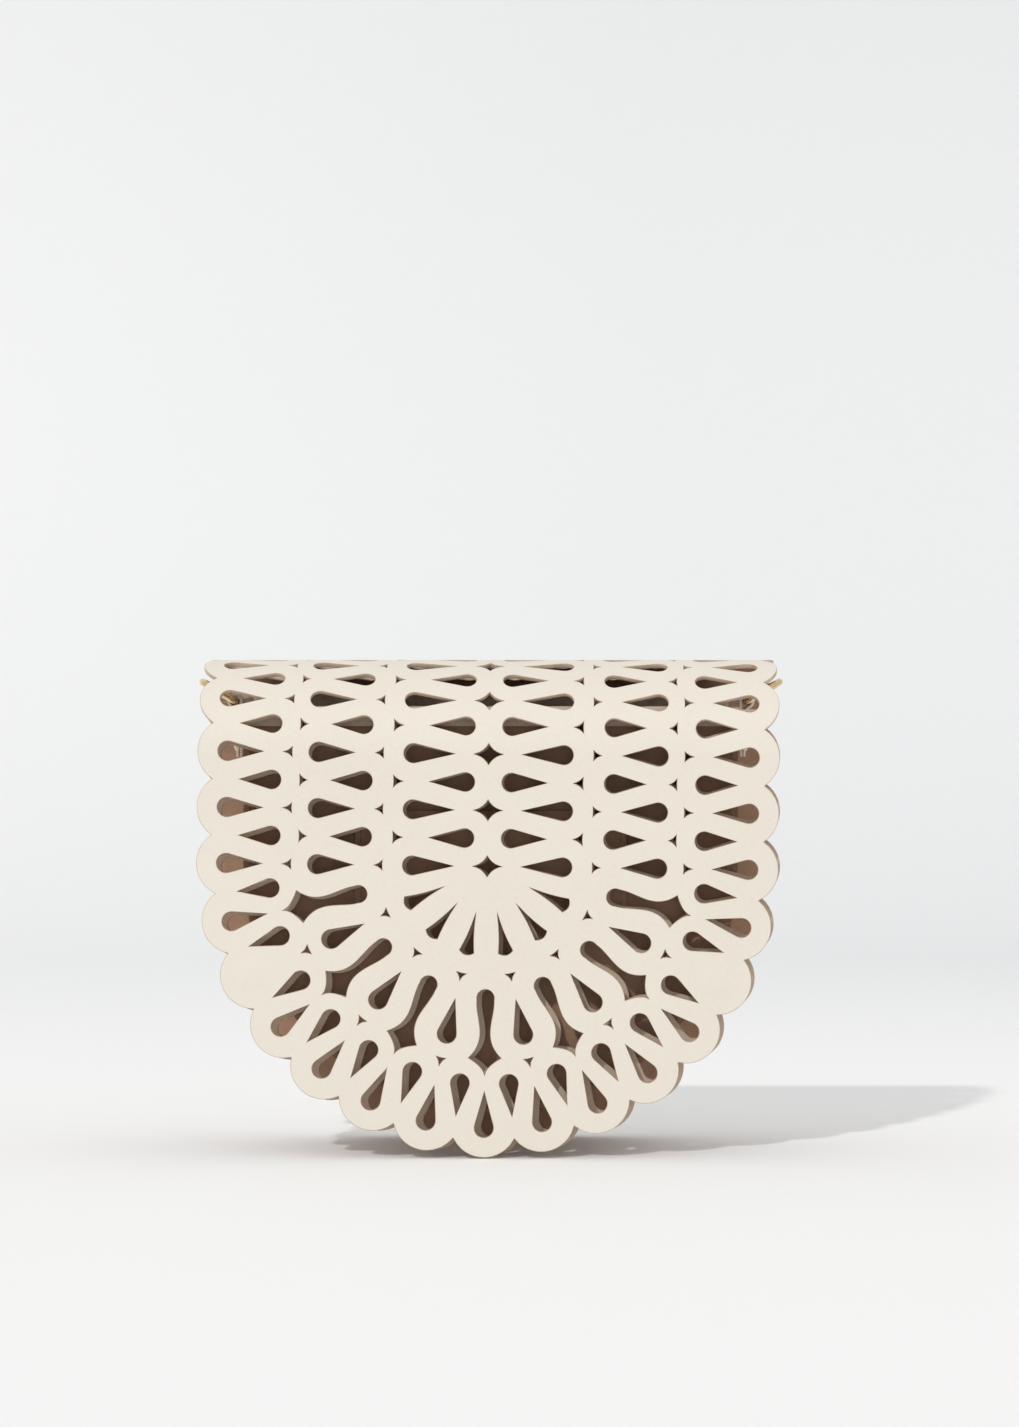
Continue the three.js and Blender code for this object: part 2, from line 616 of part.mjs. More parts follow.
function addClosure(where, side) {
  const centre = fanPoint(scallopCentre, side * closureStep);
  const cup = new THREE.LatheGeometry([
    new THREE.Vector2(0, 0),
    new THREE.Vector2(coverRadius, 0),
    new THREE.Vector2(coverRadius, coverHeight),
    new THREE.Vector2(MAGNET_RADIUS + GAP, coverHeight),
    new THREE.Vector2(MAGNET_RADIUS + GAP, MAGNET_COVER_BASE),
    new THREE.Vector2(0, MAGNET_COVER_BASE),
  ], ROUND_STEPS);
  const disc = new THREE.CylinderGeometry(MAGNET_RADIUS, MAGNET_RADIUS, MAGNET_THICKNESS, ROUND_STEPS);
  const magnetY = coverHeight - MAGNET_SETBACK - MAGNET_THICKNESS / 2;

  const bodyCover = addMesh(`body_magnet_cover_${where}`, bareGeometry(cup), leather(IVORY));
  bodyCover.position.set(centre.x, frontLaceY - GAP - coverHeight, fanCentreZ + centre.y);
  const bodyMagnet = addMesh(`body_magnet_${where}`, disc, metal(STEEL));
  bodyMagnet.position.set(centre.x, bodyCover.position.y + magnetY, bodyCover.position.z);

  const flapCover = addMesh(`flap_magnet_cover_${where}`, bareGeometry(cup), leather(IVORY));
  flapCover.rotation.x = Math.PI;
  flapCover.position.set(centre.x, flapInnerY + GAP + coverHeight, fanCentreZ + centre.y);
  const flapMagnet = addMesh(`flap_magnet_${where}`, disc, metal(STEEL));
  flapMagnet.position.set(centre.x, flapCover.position.y - magnetY, flapCover.position.z);
}
addClosure("left", -1);
addClosure("right", 1);

// ---- Strap rings ----

const eyeRadius = RING_WIRE_RADIUS + GAP;
const eyeOuter = eyeRadius + TAB_EYE_WALL;
const eyeX = (tabInnerX + tabOuterX) / 2 + eyeOuter - TAB_PLY / 2;
const eyeZ = bindingTop + eyeOuter - TAB_EYE_DIP;

// A leather tab folded round the ring's bar and riveted to the gusset: two plies with an eye at the top.
function tabShape(side) {
  const bottom = eyeZ - TAB_LENGTH;
  const shape = new THREE.Shape();
  shape.moveTo(side * tabInnerX, bottom);
  shape.lineTo(side * tabOuterX, bottom);
  shape.lineTo(side * tabOuterX, eyeZ - eyeOuter);
  for (let i = EYE_START_STEP; i <= EYE_STEPS; i += 1) {
    const angle = Math.PI * i / EYE_STEPS;
    shape.lineTo(side * (eyeX + eyeOuter * Math.cos(angle)), eyeZ + eyeOuter * Math.sin(angle));
  }
  const eye = new THREE.Path();
  eye.absarc(side * eyeX, eyeZ, eyeRadius, 0, 2 * Math.PI);
  shape.holes = [eye];
  return shape;
}

// The centre line of a D-shaped ring, its bar along Y at x = 0 and its bow towards +X.
function ringPath() {
  const corner = RING_CORNER;
  const half = RING_HALF_WIDTH;
  const shape = new THREE.Shape();
  shape.moveTo(0, corner - half);
  shape.lineTo(0, 0);
  shape.absarc(corner, half - corner, corner, Math.PI, Math.PI / 2, true);
  shape.absarc(RING_LEG, 0, half, Math.PI / 2, -Math.PI / 2, true);
  shape.absarc(corner, corner - half, corner, 1.5 * Math.PI, Math.PI, true);
  return shape.getPoints(RING_STEPS).slice(0, -1);
}

// A round wire along a flat closed path: one ring of corners at each point, joined to the next ring.
function loopWire(path, radius, sides) {
  const vertices = [];
  const faces = [];
  path.forEach((point, i) => {
    const before = path.at(i - 1);
    const after = path[(i + 1) % path.length];
    const along = after.clone().sub(before).normalize();
    for (let j = 0; j < sides; j += 1) {
      const angle = 2 * Math.PI * j / sides;
      const across = radius * Math.cos(angle);
      vertices.push(point.x + along.y * across, point.y - along.x * across, radius * Math.sin(angle));
      const next = (i + 1) % path.length;
      const k = (j + 1) % sides;
      faces.push(i * sides + j, next * sides + j, i * sides + k);
      faces.push(next * sides + j, next * sides + k, i * sides + k);
    }
  });
  const geometry = new THREE.BufferGeometry();
  geometry.setAttribute("position", new THREE.Float32BufferAttribute(vertices, 3));
  geometry.setIndex(faces);
  return geometry;
}

function addStrapRing(where, side) {
  addDrilled(`tab_${where}`, tabShape(side), ringY - TAB_WIDTH / 2, TAB_WIDTH, leather(IVORY));

  const ring = addMesh(`ring_${where}`, loopWire(ringPath(), RING_WIRE_RADIUS, 8), metal(GOLD));
  const lean = THREE.MathUtils.degToRad(RING_LEAN_DEG);
  ring.rotation.y = side > 0 ? -lean : lean - Math.PI;
  ring.position.set(side * eyeX, ringY, eyeZ);

  const shankStart = rivetInnerX - GAP;
  const shankEnd = tabOuterX + GAP;
  const rivet = new THREE.LatheGeometry([
    new THREE.Vector2(0, shankStart - RIVET_HEAD_HEIGHT),
    new THREE.Vector2(RIVET_HEAD_RADIUS, shankStart - RIVET_HEAD_HEIGHT),
    new THREE.Vector2(RIVET_HEAD_RADIUS, shankStart),
    new THREE.Vector2(RIVET_RADIUS, shankStart),
    new THREE.Vector2(RIVET_RADIUS, shankEnd),
    new THREE.Vector2(RIVET_HEAD_RADIUS, shankEnd),
    new THREE.Vector2(RIVET_HEAD_FLAT, shankEnd + RIVET_HEAD_HEIGHT),
    new THREE.Vector2(0, shankEnd + RIVET_HEAD_HEIGHT),
  ], ROUND_STEPS);
  const mesh = addMesh(`rivet_${where}`, bareGeometry(rivet), metal(GOLD));
  mesh.rotation.z = -side * Math.PI / 2;
  mesh.position.set(0, ringY, rivetZ);
}
addStrapRing("left", -1);
addStrapRing("right", 1);

export default bag;
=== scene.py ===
import bmesh
import bpy
import numpy as np
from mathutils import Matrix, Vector
from mathutils.geometry import delaunay_2d_cdt


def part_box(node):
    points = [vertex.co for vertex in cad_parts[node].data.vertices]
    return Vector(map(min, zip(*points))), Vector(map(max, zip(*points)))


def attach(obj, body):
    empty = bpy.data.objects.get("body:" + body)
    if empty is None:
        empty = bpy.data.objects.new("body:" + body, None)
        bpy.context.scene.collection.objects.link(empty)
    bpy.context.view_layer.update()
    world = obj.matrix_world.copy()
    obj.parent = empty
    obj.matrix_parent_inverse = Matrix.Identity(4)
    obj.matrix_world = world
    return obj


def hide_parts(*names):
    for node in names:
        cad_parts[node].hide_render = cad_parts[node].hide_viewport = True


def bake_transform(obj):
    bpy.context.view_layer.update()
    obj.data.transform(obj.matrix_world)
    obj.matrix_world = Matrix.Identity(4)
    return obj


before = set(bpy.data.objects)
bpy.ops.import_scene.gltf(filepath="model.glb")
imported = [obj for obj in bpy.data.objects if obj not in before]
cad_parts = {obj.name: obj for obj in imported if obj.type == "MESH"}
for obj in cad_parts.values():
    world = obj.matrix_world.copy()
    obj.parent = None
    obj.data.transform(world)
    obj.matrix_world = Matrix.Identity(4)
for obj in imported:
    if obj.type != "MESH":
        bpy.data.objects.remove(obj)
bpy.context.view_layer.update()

# ---- Back lace ----
# The panel that the bag leans on: firm cowhide, 1.6 mm thick, painted ivory on the grain side and left raw
# brown on the flesh side. The pattern is cut by laser and the cut edge is painted and rubbed round.

IVORY = (0.79, 0.735, 0.648, 1)
IVORY_CREASE = (0.70, 0.63, 0.53, 1)
RAW_HIDE = (0.42, 0.265, 0.18, 1)
RAW_HIDE_DARK = (0.31, 0.19, 0.125, 1)
EDGE_PAINT = (0.60, 0.47, 0.36, 1)
EDGE_PAINT_DARK = (0.46, 0.33, 0.24, 1)


class Dye:
    """A value in a material's nodes. Arithmetic between two of them, or with a number, adds a Math node."""

    def __init__(self, tree, socket=None):
        self.tree = tree
        self.socket = socket

    def node(self, kind, settings=None, values=None, output=0):
        """Adds any node: its settings are set first, then its sockets get values or links. Gives the output
        asked for."""
        made = self.tree.nodes.new(kind)
        for name, setting in (settings or {}).items():
            setattr(made, name, setting)
        for key, value in (values or {}).items():
            if isinstance(value, Dye):
                self.tree.links.new(value.socket, made.inputs[key])
            else:
                made.inputs[key].default_value = value
        return Dye(self.tree, made.outputs[output] if made.outputs else None)

    def math(self, operation, *values):
        """A Math node on values or numbers."""
        return self.node("ShaderNodeMath", {"operation": operation}, dict(enumerate(values)))

    def mix(self, factor, first, second):
        """The colour first where factor is 0 and second where it is 1."""
        return self.node(
            "ShaderNodeMix", {"data_type": "RGBA"}, {0: factor, 6: first, 7: second}, 2
        )

    def __add__(self, other):
        return self.math("ADD", self, other)

    def __sub__(self, other):
        return self.math("SUBTRACT", self, other)

    def __mul__(self, other):
        return self.math("MULTIPLY", self, other)

    def __rsub__(self, other):
        return self.math("SUBTRACT", other, self)

    __radd__ = __add__
    __rmul__ = __mul__

    def clipped(self, low, high):
        """0 below low, 1 above high, and a smooth S-shaped rise between them."""
        settings = {"interpolation_type": "SMOOTHSTEP"}
        return self.node("ShaderNodeMapRange", settings, {"Value": self, "From Min": low, "From Max": high})


def start_material(name):
    """An empty material and the Dye that adds nodes to it."""
    material = bpy.data.materials.new(name)
    material.use_nodes = True
    material.node_tree.nodes.clear()
    return material, Dye(material.node_tree)


def hide_place(dye, follows_cut):
    """Where a pattern is read: the flat leather before it was bent, or the object's own coordinates."""
    if follows_cut:
        return dye.node("ShaderNodeAttribute", {"attribute_name": "flat_cut"}, {}, "Vector")
    return dye.node("ShaderNodeTexCoord", {}, {}, "Object")


def noise(dye, place, size, detail=2.0, rough=0.5):
    """Cloudy noise with features about size metres across, round 0.5."""
    values = {"Vector": place, "Scale": 1 / size, "Detail": detail, "Roughness": rough}
    return dye.node("ShaderNodeTexNoise", {}, values, "Fac")


def finish_surface(dye, bump, values):
    """Ends a material: a Principled surface with these values, its normal from a bump, which is given as its
    strength, its distance in metres and its height."""
    bump_values = dict(zip(("Strength", "Distance", "Height"), bump))
    normal = dye.node("ShaderNodeBump", {}, bump_values)
    surface = dye.node("ShaderNodeBsdfPrincipled", {}, {**values, "Normal": normal})
    dye.node("ShaderNodeOutputMaterial", {}, {"Surface": surface})


def painted_hide(name, colour, crease, grain, depth, shine, follows_cut=False):
    """Painted grain leather. Pebbles are smooth Voronoi cells of one grain across, broken up by noise: their
    borders are sunk and take the crease colour. A broad noise and a middle one shift the shade, and the
    middle one also lifts the surface and makes the finish duller and shinier in patches."""
    material, dye = start_material(name)
    place = hide_place(dye, follows_cut)
    cell_values = {"Vector": place, "Scale": 1 / grain, "Smoothness": 0.35}
    cell = dye.node("ShaderNodeTexVoronoi", {"feature": "SMOOTH_F1"}, cell_values, "Distance")
    fibre = noise(dye, place, grain / 3, 3.0)
    patch = noise(dye, place, 0.012, 3.0)
    broad = noise(dye, place, 0.06, 2.0)
    sunk = cell.clipped(0.35, 0.85)
    height = (1 - sunk) * 0.7 + fibre * 0.3 + patch * 0.3
    shade = sunk * 0.16 + (broad - 0.5) * 0.45 + (patch - 0.5) * 0.16 + 0.10
    tone = dye.mix(shade.clipped(0.0, 1.0), colour, crease)
    roughness = shine + (patch - 0.5) * 0.14 + sunk * 0.08
    values = {"Base Color": tone, "Roughness": roughness, "Specular IOR Level": 0.42}
    finish_surface(dye, (0.5, depth, height), values)
    return material


def raw_hide(name, colour, dark, follows_cut=False):
    """The flesh side: matt, with short fibres, which are noise drawn out along one direction, and
    blotches."""
    material, dye = start_material(name)
    place = hide_place(dye, follows_cut)
    stretched = dye.node("ShaderNodeMapping", {}, {"Vector": place, "Scale": (1.0, 0.35, 1.0)})
    fibre = noise(dye, stretched, 0.0005, 4.0, 0.7)
    blotch = noise(dye, place, 0.009, 3.0)
    tone = dye.mix((fibre * 0.6 + blotch * 0.6).clipped(0.35, 0.85), colour, dark)
    values = {"Base Color": tone, "Roughness": 0.86 + blotch * 0.1, "Specular IOR Level": 0.25}
    finish_surface(dye, (0.6, 0.00012, fibre), values)
    return material


def painted_edge(name, colour, dark, follows_cut=False):
    """Edge paint: smoother and shinier than the flesh side, with fine brush marks, darker in soft patches."""
    material, dye = start_material(name)
    place = hide_place(dye, follows_cut)
    brushed = noise(dye, place, 0.0009, 3.0)
    thin = noise(dye, place, 0.006, 2.0)
    tone = dye.mix((thin * 0.8 + brushed * 0.4).clipped(0.45, 0.9), colour, dark)
    values = {"Base Color": tone, "Roughness": 0.42 + thin * 0.2, "Specular IOR Level": 0.4}
    finish_surface(dye, (0.35, 0.00008, brushed), values)
    return material


lace_materials = [
    painted_hide("lace grain", IVORY, IVORY_CREASE, 0.0009, 0.00005, 0.5, True),
    raw_hide("lace flesh side", RAW_HIDE, RAW_HIDE_DARK, True),
    painted_edge("lace edge paint", EDGE_PAINT, EDGE_PAINT_DARK, True),
]


def new_piece(name, points, faces, materials, flat=None):
    """A mesh object at the origin from an array of points and a list of faces, shaded smooth."""
    mesh = bpy.data.meshes.new(name)
    mesh.from_pydata(points.tolist(), [], faces)
    if flat is not None:
        mesh.attributes.new("flat_cut", "FLOAT_VECTOR", "POINT").data.foreach_set("vector", flat.ravel())
    mesh.polygons.foreach_set("use_smooth", np.ones(len(mesh.polygons), bool))
    for material in materials:
        mesh.materials.append(material)
    piece = bpy.data.objects.new(name, mesh)
    bpy.context.scene.collection.objects.link(piece)
    return piece


CUT_ROUND = 0.00022  # how far the painted edge is rubbed round
HALFWAY_ROUND = 0.29  # share of that round by which its middle stands off either face
LATTICE_CLEAR = 0.0003  # least distance from a cut to a point of a lattice
MITRE_LEAST = 0.35  # limits how far a sharp corner is moved when an outline moves in
CORNER_COSINE = 0.77  # an outline that turns by more than this at a point has a sharp corner there


def turned(loop, clockwise):
    """The loop, reversed if it doesn't already run the way asked for."""
    x, y = loop.T
    area = np.sum(x * np.roll(y, -1) - y * np.roll(x, -1))
    return loop[::-1] if (area < 0) != clockwise else loop


def rows_inside(rows, columns, ring, following, clear):
    """The points of a lattice that are in the leather: along each row the loops' crossings are sorted, and a
    point is in where an odd number lies to its left, with the same count a clear distance to either side."""
    ends = ring[following]
    kept = []
    for row in rows:
        inside = np.ones(len(columns), bool)
        for level in (row - clear, row, row + clear):
            over = (ring[:, 1] > level) != (ends[:, 1] > level)
            a, b = ring[over], ends[over]
            crossings = np.sort(a[:, 0] + (level - a[:, 1]) * (b[:, 0] - a[:, 0]) / (b[:, 1] - a[:, 1]))
            before = np.searchsorted(crossings, columns - clear)
            inside &= (before % 2 == 1) & (before == np.searchsorted(crossings, columns + clear))
        found = columns[inside]
        kept.append(np.stack([found, np.full(len(found), row)], axis=1))
    return np.concatenate(kept)


def cut_leather(name, loops, place, ply, materials, lattices=()):
    """A flat cut piece of leather, laid where place(across, along, out) puts it.

    loops are closed outlines in flat metres, the outer edge first. Both faces are the loops moved into the
    leather by CUT_ROUND and filled with triangles between loops and lattice points. The cut edge joins the
    faces through six rings that follow a quarter round, the straight wall and another quarter round."""
    loops = [turned(loop, i > 0) for i, loop in enumerate(loops)]
    outline = np.concatenate(loops)
    sizes = np.array([len(loop) for loop in loops])
    count = len(outline)
    ends = np.cumsum(sizes)
    following = np.arange(count) + 1
    following[ends - 1] = ends - sizes
    before = np.empty(count, int)
    before[following] = np.arange(count)
    loop_of = np.repeat(np.arange(len(loops)), sizes)

    step = outline[following] - outline
    step /= np.linalg.norm(step, axis=1)[:, None]
    inwards = np.stack([-step[:, 1], step[:, 0]], axis=1)
    cosine = np.sum(inwards * inwards[before], axis=1)
    shift = (inwards + inwards[before]) / np.maximum(1 + cosine, MITRE_LEAST)[:, None]
    face_ring = outline + CUT_ROUND * shift

    inner = [rows_inside(rows, columns, face_ring, following, LATTICE_CLEAR) for rows, columns in lattices]
    flat = np.concatenate([face_ring, *inner])
    edges = np.stack([np.arange(count), following], axis=1).tolist()
    filled = delaunay_2d_cdt([Vector(p) for p in flat.tolist()], edges, [], 2, 1e-9)
    source = np.array([ids[0] for ids in filled[3]])
    triangles = source[np.array(filled[2])]
    a, b, c = flat[triangles[:, 0]], flat[triangles[:, 1]], flat[triangles[:, 2]]
    area = (b[:, 0] - a[:, 0]) * (c[:, 1] - a[:, 1]) - (b[:, 1] - a[:, 1]) * (c[:, 0] - a[:, 0])
    triangles[area < 0] = triangles[area < 0][:, ::-1]
    owner = np.concatenate([loop_of, -1 - np.arange(len(flat) - count)])[triangles]
    same_loop = (owner[:, 0] == owner[:, 1]) & (owner[:, 1] == owner[:, 2])
    rises = np.sum(triangles < np.roll(triangles, -1, axis=1), axis=1)
    triangles = triangles[~same_loop | (rises == 2)]

    part_in = np.array([1, HALFWAY_ROUND, 0, 0, HALFWAY_ROUND, 1])
    part_down = np.array([0, HALFWAY_ROUND, 1])
    out = np.concatenate([ply - CUT_ROUND * part_down, CUT_ROUND * part_down[::-1]])
    rings = outline[None] + CUT_ROUND * part_in[:, None, None] * shift[None]
    ring_points = np.concatenate([rings, np.broadcast_to(out[:, None, None], (6, count, 1))], axis=2)
    lattice = flat[count:]
    top = np.column_stack([lattice, np.full(len(lattice), ply)])
    bottom = np.column_stack([lattice, np.zeros(len(lattice))])
    cut = np.concatenate([ring_points.reshape(-1, 3), top, bottom])

    upper = np.where(triangles < count, triangles, triangles + 5 * count)
    lower = np.where(triangles < count, triangles + 5 * count, triangles + 5 * count + len(lattice))[:, ::-1]
    ring = np.arange(5)[:, None] * count
    near, far = np.arange(count)[None], following[None]
    walls = np.stack([ring + near, ring + count + near, ring + count + far, ring + far], axis=-1)
    walls = walls.reshape(-1, 4)
    faces = upper.tolist() + lower.tolist() + walls.tolist()
    piece = new_piece(name, place(*cut.T), faces, materials, cut)
    mesh = piece.data
    finish = np.repeat([0, 1, 2], [len(upper), len(lower), len(walls)])
    mesh.polygons.foreach_set("material_index", finish)

    corner = np.sum(step * step[before], axis=1) < CORNER_COSINE
    pair = np.empty(2 * len(mesh.edges), int)
    mesh.edges.foreach_get("vertices", pair)
    first, second = pair.reshape(-1, 2).T
    on_rings = (first < 6 * count) & (second < 6 * count)
    first_ring, second_ring = first // count, second // count
    i, j = first % count, second % count
    rim = (first_ring == second_ring) & ((first_ring == 0) | (first_ring == 5))
    rim &= (following[i] == j) | (following[j] == i)
    crease = (first_ring != second_ring) & (i == j) & corner[i]
    sharp = on_rings & (rim | crease)
    mesh.attributes.new("sharp_edge", "BOOLEAN", "EDGE").data.foreach_set("value", sharp)
    return piece


# The pattern, in metres from the fan centre: u is the distance out from the centre line, v the height.
ROW = 0.00992
SCALLOP = 0.012
SCALLOP_CENTRE = 0.091
FAN_STEP = np.pi / 14
CLOSURE_STEP = 5
LACE_PLY = 0.0016
FAN_REACH = SCALLOP_CENTRE + SCALLOP


def teardrop(round_end, tip, radius=0.0034):
    """An arc about the round end and two straight sides that touch it and meet at the tip, along u."""
    way = np.sign(tip - round_end)
    centre = round_end + way * radius
    touch = np.arccos(radius / abs(tip - centre))
    turn = np.linspace(touch, 2 * np.pi - touch, 19)
    arc = np.stack([centre + way * radius * np.cos(turn), radius * np.sin(turn)], axis=1)
    return np.concatenate([[[tip, 0]], arc])


def lobed(corners, bulges, steps=5):
    """Corners joined by shallow arcs: each side is a parabola that leaves its chord by bulge times the
    chord's length."""
    corners = np.array(corners)
    chord = np.roll(corners, -1, axis=0) - corners
    side = np.stack([chord[:, 1], -chord[:, 0]], axis=1) * np.array(bulges)[:, None]
    part = np.arange(steps) / steps
    hump = 4 * part * (1 - part)
    points = corners[:, None] + part[:, None] * chord[:, None] + hump[:, None] * side[:, None]
    return points.reshape(-1, 2)


def dart(base, tip, half):
    """The small three-pointed hole between the teardrops, its flat side at base and its point at tip."""
    way = np.sign(tip - base)
    return lobed([(base, -half * way), (tip, 0), (base, half * way)], (-0.10, -0.10, -0.04), 4)


def star_slot():
    """A round inner end, a neck and a four-pointed star. The half-width of the neck is a cubic through the
    round end, the waist, the shoulder and the star's side point."""
    turn = np.linspace(np.pi, 0.46 * np.pi, 9)
    end = np.stack([0.0466 + 0.0031 * np.cos(turn), 0.0031 * np.sin(turn)], axis=1)
    reach = np.linspace(0.0472, 0.0678, 16)
    through = np.polyfit([0.0472, 0.0583, 0.0640, 0.0678], [0.00302, 0.0018, 0.0029, 0.0058], 3)
    neck = np.stack([reach, np.polyval(through, reach)], axis=1)
    part = np.linspace(0, 1, 8)[1:]
    point = np.stack([0.0678 + 0.0064 * part, 0.0058 * (1 - part) - 0.0055 * part * (1 - part)], axis=1)
    half = np.concatenate([end, neck, point])
    mirrored = half[-2:0:-1] * (1, -1)
    return np.concatenate([half, mirrored])


EVEN_ROW = [
    teardrop(0.0958, 0.0795, 0.00346),
    teardrop(0.0636, 0.0472, 0.00346),
    teardrop(0.0300, 0.0117),
    dart(0.0694, 0.0728, 0.0018),
    dart(0.0371, 0.0401, 0.0019),
]
ODD_ROW = [
    teardrop(0.0733, 0.0882, 0.00336),
    teardrop(0.0410, 0.0558, 0.00336),
    teardrop(0.0048, 0.0210, 0.00336),
    dart(0.0668, 0.0640, 0.0022),
    dart(0.0336, 0.0300, 0.0022),
]
DIAMOND = lobed([(0.0053, 0), (0, 0.0037), (-0.0053, 0), (0, -0.0037)], (-0.12,) * 4)
FAN_SCALLOP_DROP = teardrop(0.0959, 0.0795)
FAN_NOTCH_DROP = teardrop(0.0739, 0.0890, 0.00336)
FAN_ODD = [
    teardrop(0.0643, 0.0480),
    lobed([(0.0163, 0), (0.0310, -0.0026), (0.0310, 0.0026)], (-0.03, 0.22, -0.03), 6),
    dart(0.0694, 0.0728, 0.0018),
    dart(0.0386, 0.0416, 0.0019),
]
FAN_EVEN = [star_slot()]


def fanned(shape, step):
    """A shape turned to a number of scallops from straight down."""
    angle = step * FAN_STEP
    u, across = shape.T
    x = u * np.sin(angle) + across * np.cos(angle)
    return np.stack([x, across * np.sin(angle) - u * np.cos(angle)], axis=1)


def lace_outline(top):
    """The scalloped edge: arcs about centres on the straight sides and on the fan's rim, cut square at
    the top."""
    v = np.append(np.arange(0, top, ROW / 7), top)
    offset = v - 2 * ROW * np.round(v / (2 * ROW))
    side = np.stack([SCALLOP_CENTRE + np.sqrt(SCALLOP**2 - offset**2), v], axis=1)
    step = np.linspace(7, -7, 14 * 14 + 1)[1:-1]
    angle = (step - np.round(step)) * FAN_STEP
    reach = SCALLOP_CENTRE * np.cos(angle) + np.sqrt(SCALLOP**2 - (SCALLOP_CENTRE * np.sin(angle)) ** 2)
    fan = np.stack([reach * np.sin(step * FAN_STEP), -reach * np.cos(step * FAN_STEP)], axis=1)
    return np.concatenate([side[::-1], fan, side * (-1, 1)])


def lace_loops(top, last_row):
    """The outline and every hole of a panel: rows 0 to last_row, and the fan below."""
    loops = [lace_outline(top)]
    for row in range(last_row + 1):
        holes = ODD_ROW if row % 2 else EVEN_ROW
        loops += [hole * (side, 1) + (0, row * ROW) for hole in holes for side in (1, -1)]
        if row % 2 == 0:
            loops.append(DIAMOND + (0, row * ROW))
    for step in range(-6, 7):
        loops += [fanned(hole, step) for hole in (FAN_ODD if step % 2 else FAN_EVEN)]
        if abs(step) != CLOSURE_STEP:
            loops.append(fanned(FAN_SCALLOP_DROP, step))
    loops += [fanned(FAN_NOTCH_DROP, step + 0.5) for step in range(-7, 7)]
    return loops


def lattice(low, high, spacing=0.0013, half_width=0.103):
    """Rows and columns of extra points where a piece bends, twice as close along the bend as across it."""
    return np.arange(low, high, spacing), np.arange(-half_width, half_width, 2 * spacing)


# The round top: the leather's middle line keeps its length, so its faces turn at the radii on either side.
roll_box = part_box("roll_lace")
ROLL_TOP = roll_box[1].z
ROLL_RADIUS = 0.035
ROLL_MIDDLE = ROLL_RADIUS - LACE_PLY / 2
ROLL_CENTRE = ROLL_TOP - ROLL_RADIUS
BACK_FAN = FAN_REACH
BACK_TOP = 0.06075
BACK_BEND = 0.036  # the back lace and its backing need extra points above here, where they bend


def round_top(along, out, straight):
    """Depth and height of leather that runs straight up, then round a quarter and more of a cylinder."""
    turn = np.maximum(along - straight, 0) / ROLL_MIDDLE
    radius = ROLL_RADIUS - LACE_PLY + out
    below = np.minimum(along - straight, 0)
    return radius * np.cos(turn), ROLL_CENTRE + radius * np.sin(turn) + below


def lay_back(across, along, out):
    """The back lace stands at the back and leans forwards above the round top's centre."""
    y, z = round_top(along, out, ROLL_CENTRE - BACK_FAN)
    return np.stack([-across, y, z], axis=1)


back_lattice = lattice(BACK_BEND, BACK_TOP)
back_lace = cut_leather(
    "back_lace_cut", lace_loops(BACK_TOP, 5), lay_back, LACE_PLY, lace_materials, [back_lattice]
)
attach(back_lace, "body")
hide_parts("back_lace")

# ---- Backing ----
# A layer of plain brown leather glued behind the back lace, with the same scallops trimmed a little smaller,
# so the holes of the back show brown ground. Its grain side faces out through the holes.

BROWN_HIDE = (0.37, 0.225, 0.150, 1)
BROWN_CREASE = (0.28, 0.165, 0.108, 1)
BACKING_PLY = 0.0008
BACKING_TRIM = 0.0008
BACKING_OFF = 0.0003
BACKING_TOP = 5.5 * ROW

brown_hide = painted_hide("brown hide", BROWN_HIDE, BROWN_CREASE, 0.0011, 0.00008, 0.62)
brown_hide_raw = raw_hide("brown hide flesh side", RAW_HIDE, RAW_HIDE_DARK)
brown_edge = painted_edge("brown edge paint", BROWN_HIDE, BROWN_CREASE)


def lay_backing(across, along, out):
    """The backing follows the back lace a hair inside it."""
    return lay_back(across, along, out - BACKING_PLY - BACKING_OFF)


backing_edge = lace_outline(BACKING_TOP)
backing_edge = backing_edge * (1 - BACKING_TRIM / np.hypot(*backing_edge.T))[:, None]
backing = cut_leather(
    "back_backing_sheet",
    [backing_edge],
    lay_backing,
    BACKING_PLY,
    [brown_hide, brown_hide_raw, brown_edge],
    [lattice(-0.096, BACK_BEND, 0.004), lattice(BACK_BEND, BACKING_TOP)],
)
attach(backing, "body")
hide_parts("back_backing")

# ---- Wrap: round top and flap ----
# One piece of the same leather, bent over the round top and down the front. It was sewn on a hair out of
# true, so the flap hangs slightly to one side.

FLAP_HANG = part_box("flap_lace")[0].z
FLAP_FAN = FLAP_HANG + FAN_REACH
FOLD_ALONG = 12.5 * ROW
WRAP_TOP = FOLD_ALONG - 0.0003
SEWN_TURN = np.radians(0.75)
TURN_PIVOT = 0.09  # the height in the pattern about which the flap is turned
TURN_END = 0.122  # the turn has faded out here
TURN_FADE = 0.03
MAGNET_SWELL = 0.0003
SWELL_REACH = 0.0078
SWELL_GAIN = 1.6  # the bell is made this much taller and cut off at 1, which flattens its top
SWELL_SPACING = 0.0011
closure_turn = CLOSURE_STEP * FAN_STEP
closure_centres = [
    (side * SCALLOP_CENTRE * np.sin(closure_turn), -SCALLOP_CENTRE * np.cos(closure_turn)) for side in (1, -1)
]


